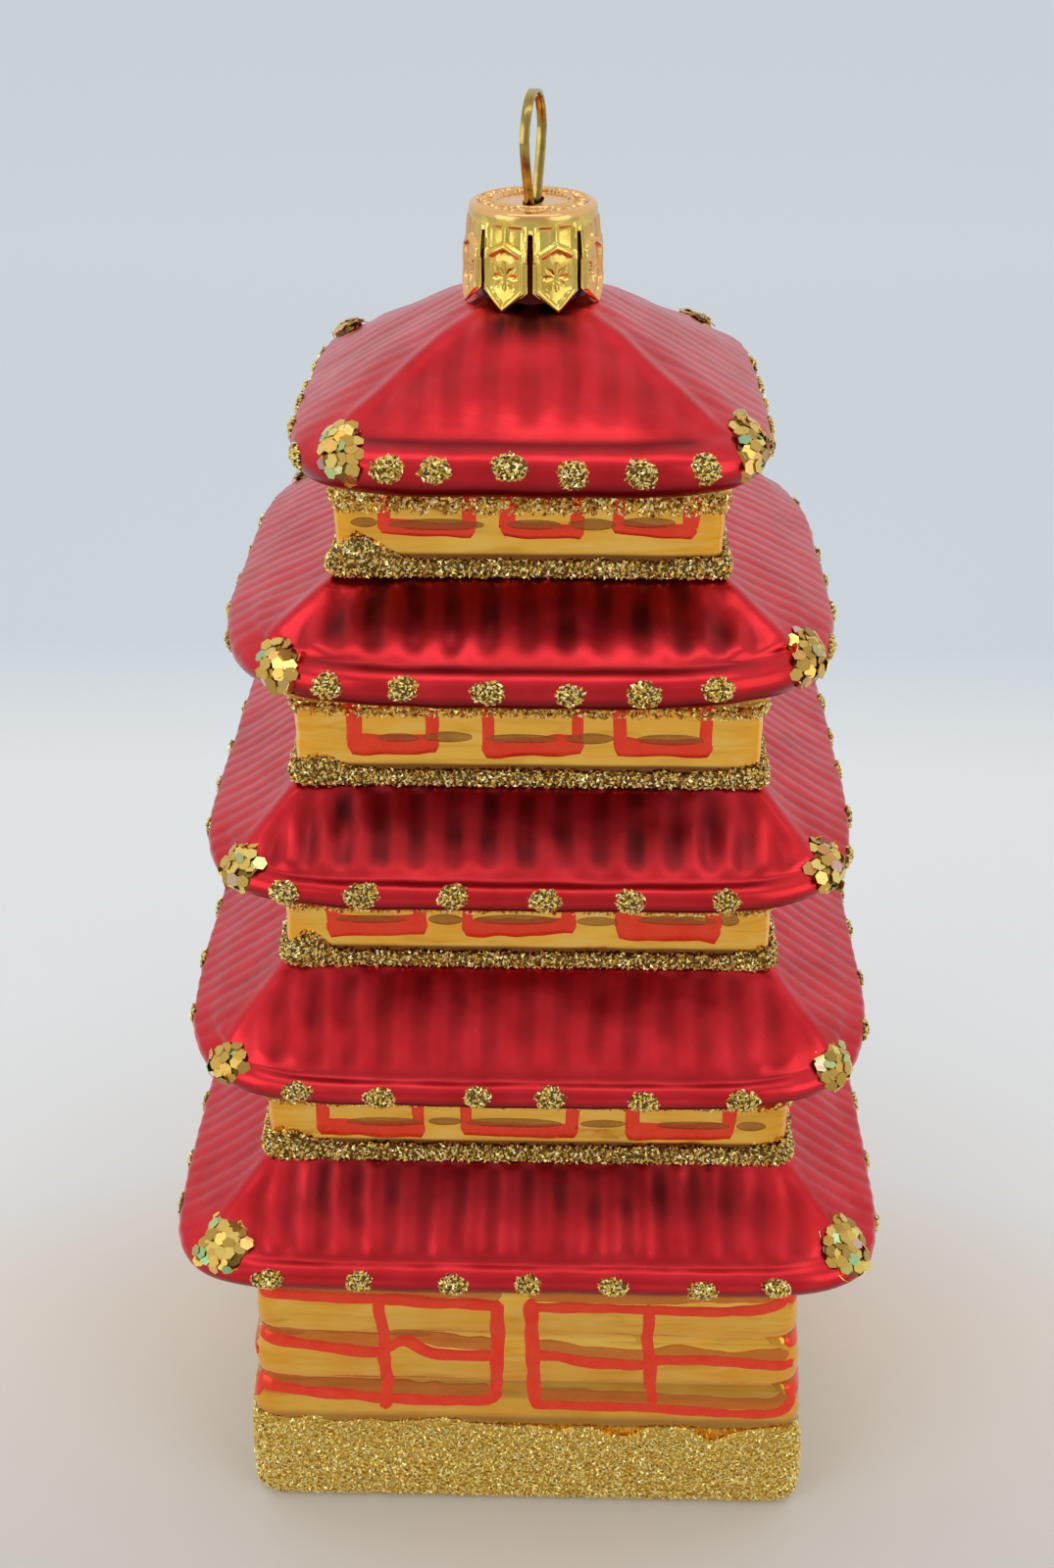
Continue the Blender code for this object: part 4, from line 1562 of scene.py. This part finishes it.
# The petals' relief: a bead along the edge, a ribbed hexagon with a star in it, and a sunk panel above.
RELIEF_ENDS = (0.3, 1.0)
EDGE_BEAD = 0.16
EDGE_BEAD_INSET = 0.18
EDGE_BEAD_WIDTH = 0.19
HEX_HALF = 1.78
HEX_CENTRE = 3.35
HEX_REACH = 3.05
HEX_SLANT_BELOW = 0.93
HEX_SLANT_ABOVE = 0.5
HEX_BEAD = 0.32
HEX_BEAD_WIDTH = 0.24
HEX_INSIDE = 0.86
HEX_OUTSIDE = 1.1
HEX_SUNK = 0.12
STAR_RAYS = 8
STAR_RADIUS = 1.4
STAR_DEPTH = 0.27
STAR_LEAF = 0.32
STAR_LEAF_ROUNDNESS = 0.8
PANEL_FROM = HEX_CENTRE + HEX_REACH * 0.5
PANEL_TOP = 8.5
PANEL_TOP_FADE = 0.6
PANEL_EDGES = (0.5, 0.7)
PANEL_MIDDLE = (0.16, 0.34)
PANEL_DEPTH = 0.18

# The top's relief: two rings, and between them dots and short dashes by turns.
DISC_SUNK = 0.12
DISC_SIGNS = 16
DISC_SIGNS_RADIUS = 4.95
# Each ring's radius, height and half width.
DISC_RINGS = ((3.9, 0.34, 0.24), (5.75, 0.16, 0.16))
DOT_BEAD = 0.34
DOT_BEAD_WIDTH = 0.34
DASH_BEAD = 0.36
DASH_BEAD_WIDTH = 0.28
DASH_LENGTHENING = 2.2


def bead(distance, width):
    """A raised ridge's height share at a distance from its middle."""
    return max(0.0, 1 - (distance / width) ** 2) ** 0.5 if abs(distance) < width else 0.0


def star_depth(x, y):
    """How deep a star of pressed leaves is, at a place from its middle."""
    ray = 2 * pi / STAR_RAYS
    turn = atan2(x, y) % ray
    reach = hypot(x, y)
    from_ray = reach * sin(min(turn, ray - turn))
    leaf = STAR_LEAF * sin(pi * min(1.0, reach / STAR_RADIUS)) ** STAR_LEAF_ROUNDNESS
    if reach < STAR_RADIUS and from_ray < leaf:
        return STAR_DEPTH * (1 - from_ray / max(leaf, 0.01))
    return 0.0


def petal_relief(x, y):
    """Pressed relief of a petal, in mm; x from its middle line and y up from its point."""
    edge = petal_half(y) - abs(x)
    slant = HEX_SLANT_BELOW if y < HEX_CENTRE else HEX_SLANT_ABOVE
    hexagon = max(abs(x) / HEX_HALF, (abs(x) * slant + abs(y - HEX_CENTRE)) / HEX_REACH)
    above = y > PANEL_FROM
    height = EDGE_BEAD * bead(edge - EDGE_BEAD_INSET, EDGE_BEAD_WIDTH) if above else 0.0
    height += HEX_BEAD * bead((hexagon - 1.0) * HEX_HALF, HEX_BEAD_WIDTH)
    if hexagon < HEX_INSIDE:
        height -= HEX_SUNK + star_depth(x, y - HEX_CENTRE)
    elif hexagon > HEX_OUTSIDE and above:
        panel = smooth_step(edge, *PANEL_EDGES) * smooth_step(abs(x), *PANEL_MIDDLE)
        height -= PANEL_DEPTH * panel * smooth_step(PANEL_TOP - y, 0.0, PANEL_TOP_FADE)
    return height


def petal_half(y):
    """Half width of a petal at a height above its point."""
    full = CAP_SKIRT_RADIUS * radians(360 / PETALS - SLIT_ANGLE) / 2
    return full * min(1.0, PETAL_TIP_WIDTH + y / PETAL_POINT)


def disc_relief(radius, angle):
    """Pressed ornament of the cap's top: raised rings, dots, and small dashes between them."""
    height = sum(rise * bead(radius - middle, width) for middle, rise, width in DISC_RINGS)
    pitch = 2 * pi / DISC_SIGNS
    off = radius - DISC_SIGNS_RADIUS
    from_dot = DISC_SIGNS_RADIUS * (angle % pitch - pitch / 2)
    from_dash = DISC_SIGNS_RADIUS * ((angle + pitch / 2) % pitch - pitch / 2)
    height += DOT_BEAD * bead(hypot(off, from_dot), DOT_BEAD_WIDTH)
    height += DASH_BEAD * bead(hypot(off / DASH_LENGTHENING, from_dash), DASH_BEAD_WIDTH)
    return height - DISC_SUNK


def cap_angles():
    """Directions of the cap's columns, and where each lies across its petal (None in a slit)."""
    pitch = 360 / PETALS
    petal = pitch - SLIT_ANGLE
    columns = []
    for number in range(PETALS):
        start = SLIT_DIRECTION + number * pitch + SLIT_ANGLE / 2
        for index in range(PETAL_COLUMNS + 1):
            share = index / PETAL_COLUMNS
            columns.append((radians(start + petal * share), 2 * share - 1))
        for index in range(1, SLIT_COLUMNS):
            columns.append((radians(start + petal + SLIT_ANGLE * index / SLIT_COLUMNS), None))
    return columns


def slot_point(angle):
    """The edge of the long slot in the cap's top, on the side that a direction points to."""
    turn = radians(LOOP_DIRECTION)
    along, across = Vector((cos(turn), sin(turn))), Vector((-sin(turn), cos(turn)))
    return along * SLOT_HALF_LENGTH * cos(angle - turn) + across * SLOT_HALF_WIDTH * sin(angle - turn)


def cap_outlines(columns):
    """The pressed cup's top, from the edge of its slot out over the rim."""
    outlines = []
    flat = CAP_RIM_RADIUS - CAP_RIM_ROUNDING
    for row in range(DISC_ROWS + 1):
        points = []
        for angle, _ in columns:
            rim = Vector((flat * cos(angle), flat * sin(angle)))
            spot = slot_point(angle).lerp(rim, row / DISC_ROWS)
            points.append(Vector((*spot, CAP_TOP + disc_relief(spot.length, angle))))
        outlines.append(points)
    for row in range(1, RIM_ROWS + 1):
        bend = pi / 2 * row / RIM_ROWS
        radius = flat + CAP_RIM_ROUNDING * sin(bend)
        z = CAP_TOP - CAP_RIM_ROUNDING * (1 - cos(bend))
        outlines.append([polar(radius, angle, z) for angle, _ in columns])
    return outlines


def skirt_outlines(columns):
    """The cup's wall, from under the rim down to the petals' points."""
    top = CAP_TOP - CAP_RIM_ROUNDING
    outlines = []
    for row in range(1, SKIRT_ROWS + 1):
        points = []
        for angle, across in columns:
            foot = CAP_TIP + PETAL_POINT * (1.0 if across is None else abs(across))
            z = top + (foot - top) * row / SKIRT_ROWS
            y = z - CAP_TIP
            radius = mix(CAP_RIM_RADIUS, CAP_SKIRT_RADIUS, smooth_step(top - z, 0.0, SKIRT_WIDENS_BY))
            radius += PETAL_FLARE * smooth_step(PETAL_FLARE_HEIGHT - y, 0.0, PETAL_FLARE_HEIGHT)
            if across is not None:
                x = across * radius * radians(360 / PETALS - SLIT_ANGLE) / 2
                radius += petal_relief(x, y) * smooth_step(top - z, *RELIEF_ENDS)
            points.append(polar(radius, angle, z))
        outlines.append(points)
    return outlines


def slit_faces(bm, columns, skirt):
    """The skirt's faces between petals, below the slits' upper ends."""
    faces = []
    for index, (_, across) in enumerate(columns):
        after = (index + 1) % len(columns)
        onward = columns[after][1]
        if across is not None and onward is not None and onward > across:
            continue
        for upper, lower in zip(skirt, skirt[1:]):
            if upper[index].co.z < SLIT_TOP * MM:
                edge = bm.edges.get((upper[index], upper[after]))
                faces += [face for face in edge.link_faces if lower[index] in face.verts]
    return list(dict.fromkeys(faces))


def make_cap(finish):
    """A pressed crown cap: disc and rim in one piece with eight embossed petals."""
    columns = cap_angles()
    bm = bmesh.new()
    over = cap_outlines(columns)
    loops = skin(bm, over + skirt_outlines(columns))
    bmesh.ops.delete(bm, geom=slit_faces(bm, columns, loops[len(over):]), context="FACES")
    cap = add_piece("embossed_cap", bm, finish, ["crown_cap"])
    sheet = cap.modifiers.new("sheet", "SOLIDIFY")
    sheet.thickness = CAP_SHEET * MM
    sheet.offset = -1.0


# Hanging loop. Points are (across, up) in the wire's own plane.

WIRE_THICKNESS = 0.36
WIRE_WIDTH = 0.95
WIRE_STEP = 0.35
WIRE_BEVEL = 0.3
LOOP_TOP = 162.5
LOOP_HALF_WIDTH = 4.45
LOOP_STEP = 15
WIRE_RISE = ((3.5, 144.2), (3.1, 146.5), (2.2, 149.0), (1.9, 151.5), (2.7, 153.6), (3.75, 155.8))


def make_loop(finish):
    """Flat wire with softened edges, bent to a loop and sprung into the cap's slot."""
    centre = LOOP_TOP - WIRE_THICKNESS / 2 - LOOP_HALF_WIDTH
    arc = [
        (LOOP_HALF_WIDTH * cos(radians(a)), centre + LOOP_HALF_WIDTH * sin(radians(a)))
        for a in range(0, 180 + 1, LOOP_STEP)
    ]
    fall = [(-across, up) for across, up in reversed(WIRE_RISE)]
    turn = radians(LOOP_DIRECTION)
    along, sideways = Vector((cos(turn), sin(turn), 0)), Vector((sin(turn), -cos(turn), 0))
    half, thin = WIRE_WIDTH / 2, WIRE_THICKNESS / 2
    soft = WIRE_BEVEL * thin
    section = (
        (half, thin - soft), (half - soft, thin), (soft - half, thin), (-half, thin - soft),
        (-half, soft - thin), (soft - half, -thin), (half - soft, -thin), (half, soft - thin),
    )
    sections = []
    for spot, ahead in headings(smooth_path([*WIRE_RISE, *arc, *fall], WIRE_STEP)):
        normal = ahead.orthogonal()
        sections.append([
            along * (spot.x + normal.x * n) + Vector((0, 0, spot.y + normal.y * n)) + sideways * w
            for w, n in section
        ])
    bm = bmesh.new()
    close_ends(bm, skin(bm, sections))
    add_piece("wire_loop", bm, finish, ["hanger_loop"])


# Studio.

CAMERA_LENS = 42.75
CAMERA_CLIP = (0.01, 10.0)
CAMERA_DISTANCE = 191.0
CAMERA_HEIGHT = 194.3
CAMERA_YAW = 1.1
CAMERA_DOWN = 29.93
AIM_OFF = 0.19
# Each light's name, place, aim, size, power and colour.
LIGHTS = (
    ("overhead_softbox", (0, -60, 520), (0, -20, 90), (420, 95), 0.19, (1.0, 0.98, 0.96)),
    ("left_window", (-360, -300, 260), (0, 0, 80), (320, 400), 0.44, (1.0, 0.99, 0.97)),
    ("right_window", (360, -300, 260), (0, 0, 80), (320, 400), 0.38, (1.0, 0.99, 0.97)),
)
SKY_TONES = (
    (0.0, (0.66, 0.715, 0.76)),
    (0.5, (0.74, 0.775, 0.81)),
    (0.9, (0.70, 0.71, 0.72)),
    (1.0, (0.66, 0.66, 0.66)),
)
BEHIND_CAMERA = (0.44, 0.43, 0.42)
BEHIND_ENDS = (-0.1, -0.9)
FLOOR_HALF = 1800
# How far behind the axis each tone of the floor lies. The darker near tone is painted shade in front of the
# ornament, and the warm tone round the base a painted glow of light thrown by the gold.
FLOOR_TONES = (
    (-60, (0.70, 0.67, 0.63)),
    (-3, (0.93, 0.87, 0.79)),
    (26, (0.98, 0.98, 0.97)),
    (63, (0.98, 1.0, 1.0)),
    (150, (0.98, 1.0, 1.0)),
    (215, (0.80, 0.86, 0.91)),
    (600, (0.88, 0.94, 0.98)),
)


def add_object(name, data):
    made = bpy.data.objects.new(name, data)
    bpy.context.scene.collection.objects.link(made)
    return made


def add_camera():
    data = bpy.data.cameras.new("camera")
    data.lens = CAMERA_LENS
    data.clip_start, data.clip_end = CAMERA_CLIP
    camera = add_object("camera", data)
    yaw = radians(CAMERA_YAW)
    camera.location = Vector((CAMERA_DISTANCE * sin(yaw), -CAMERA_DISTANCE * cos(yaw), CAMERA_HEIGHT)) * MM
    camera.rotation_euler = (radians(90 - CAMERA_DOWN), 0, radians(CAMERA_YAW + AIM_OFF))
    bpy.context.scene.camera = camera


def add_area_light(name, location, aim, size, power, colour):
    data = bpy.data.lights.new(name, "AREA")
    data.shape = "RECTANGLE"
    data.size, data.size_y = (edge * MM for edge in size)
    data.energy = power
    data.color = colour
    light = add_object(name, data)
    light.location = Vector(location) * MM
    light.rotation_euler = (Vector(aim) - Vector(location)).to_track_quat("-Z", "Y").to_euler()


def add_world():
    """A pale sky, a little bluer low down, and darker behind the camera."""
    world = bpy.data.worlds.new("pale_room")
    bpy.context.scene.world = world
    world.use_nodes = True
    graph = Graph(world.node_tree)
    background = world.node_tree.nodes["Background"]
    direction = graph.node("ShaderNodeTexCoord").outputs["Generated"]
    tone = graph.ramp(graph.stretch(graph.axis(direction, "Z"), 0.0, 1.0), SKY_TONES)
    behind = graph.stretch(graph.axis(direction, "Y"), *BEHIND_ENDS)
    graph.feed(background.inputs["Color"], graph.blend(behind, tone, BEHIND_CAMERA))
    graph.feed(background.inputs["Strength"], 1.0)


def add_floor():
    """A plain pale sheet, warmer near the camera and cooler far behind the ornament, with painted shade and a
    painted warm glow near the base.
    """
    bm = bmesh.new()
    bmesh.ops.create_grid(bm, x_segments=1, y_segments=1, size=FLOOR_HALF * MM)
    mesh = bpy.data.meshes.new("floor_sheet")
    bm.to_mesh(mesh)
    bm.free()
    finish = Finish("pale_sheet", Roughness=0.9)
    graph = finish.graph
    near, far = FLOOR_TONES[0][0], FLOOR_TONES[-1][0]
    stops = [((y - near) / (far - near), tone) for y, tone in FLOOR_TONES]
    back = graph.stretch(graph.axis(graph.place(), "Y"), near * MM, far * MM)
    finish.feed("Base Color", graph.ramp(back, stops))
    mesh.materials.append(finish.material)
    add_object("floor_sheet", mesh)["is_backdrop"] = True


def write_size():
    boxes = {"cad": cad_box, "visual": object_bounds()}
    plain = {name: [list(corner) for corner in box] for name, box in boxes.items()}


def make_ornament():
    red, gold, paint = make_red_lacquer(), make_gold_lacquer(), make_paint()
    # Films of painted reflection: amber on the walls, orange on the base.
    amber = make_reflection_film("amber_reflection", AMBER_REFLECTION_TONES, cover=0.52)
    orange = make_reflection_film("orange_reflection", ORANGE_REFLECTION_TONES, cover=0.56)
    glitter = make_glitter()
    for number in range(len(STOREYS)):
        make_roof(number, red)
        make_eave_dots(number, glitter)
    make_neck(red)
    walls = range(len(STOREYS) - 1)
    for number in walls:
        make_wall(number, gold)
        make_window_frames(number, paint)
        make_reflection_lenses(number, amber)
    make_base(gold)
    make_painted_grid(paint)
    make_reflection_bands(orange)
    for number in walls:
        make_foot_band(number, glitter)
    for number in walls:
        make_top_band(number, glitter)
    make_plinth(glitter)
    make_flake_clusters(make_foil())
    make_cap(make_metal("cap_brass", CAP_TONES, wave=0.15, rosy=True))
    make_loop(make_metal("wire_brass", WIRE_TONES, wave=0.1))


add_camera()
add_world()
for light in LIGHTS:
    add_area_light(*light)
add_floor()
make_ornament()
bpy.context.scene.view_settings.view_transform = "Standard"
write_size()
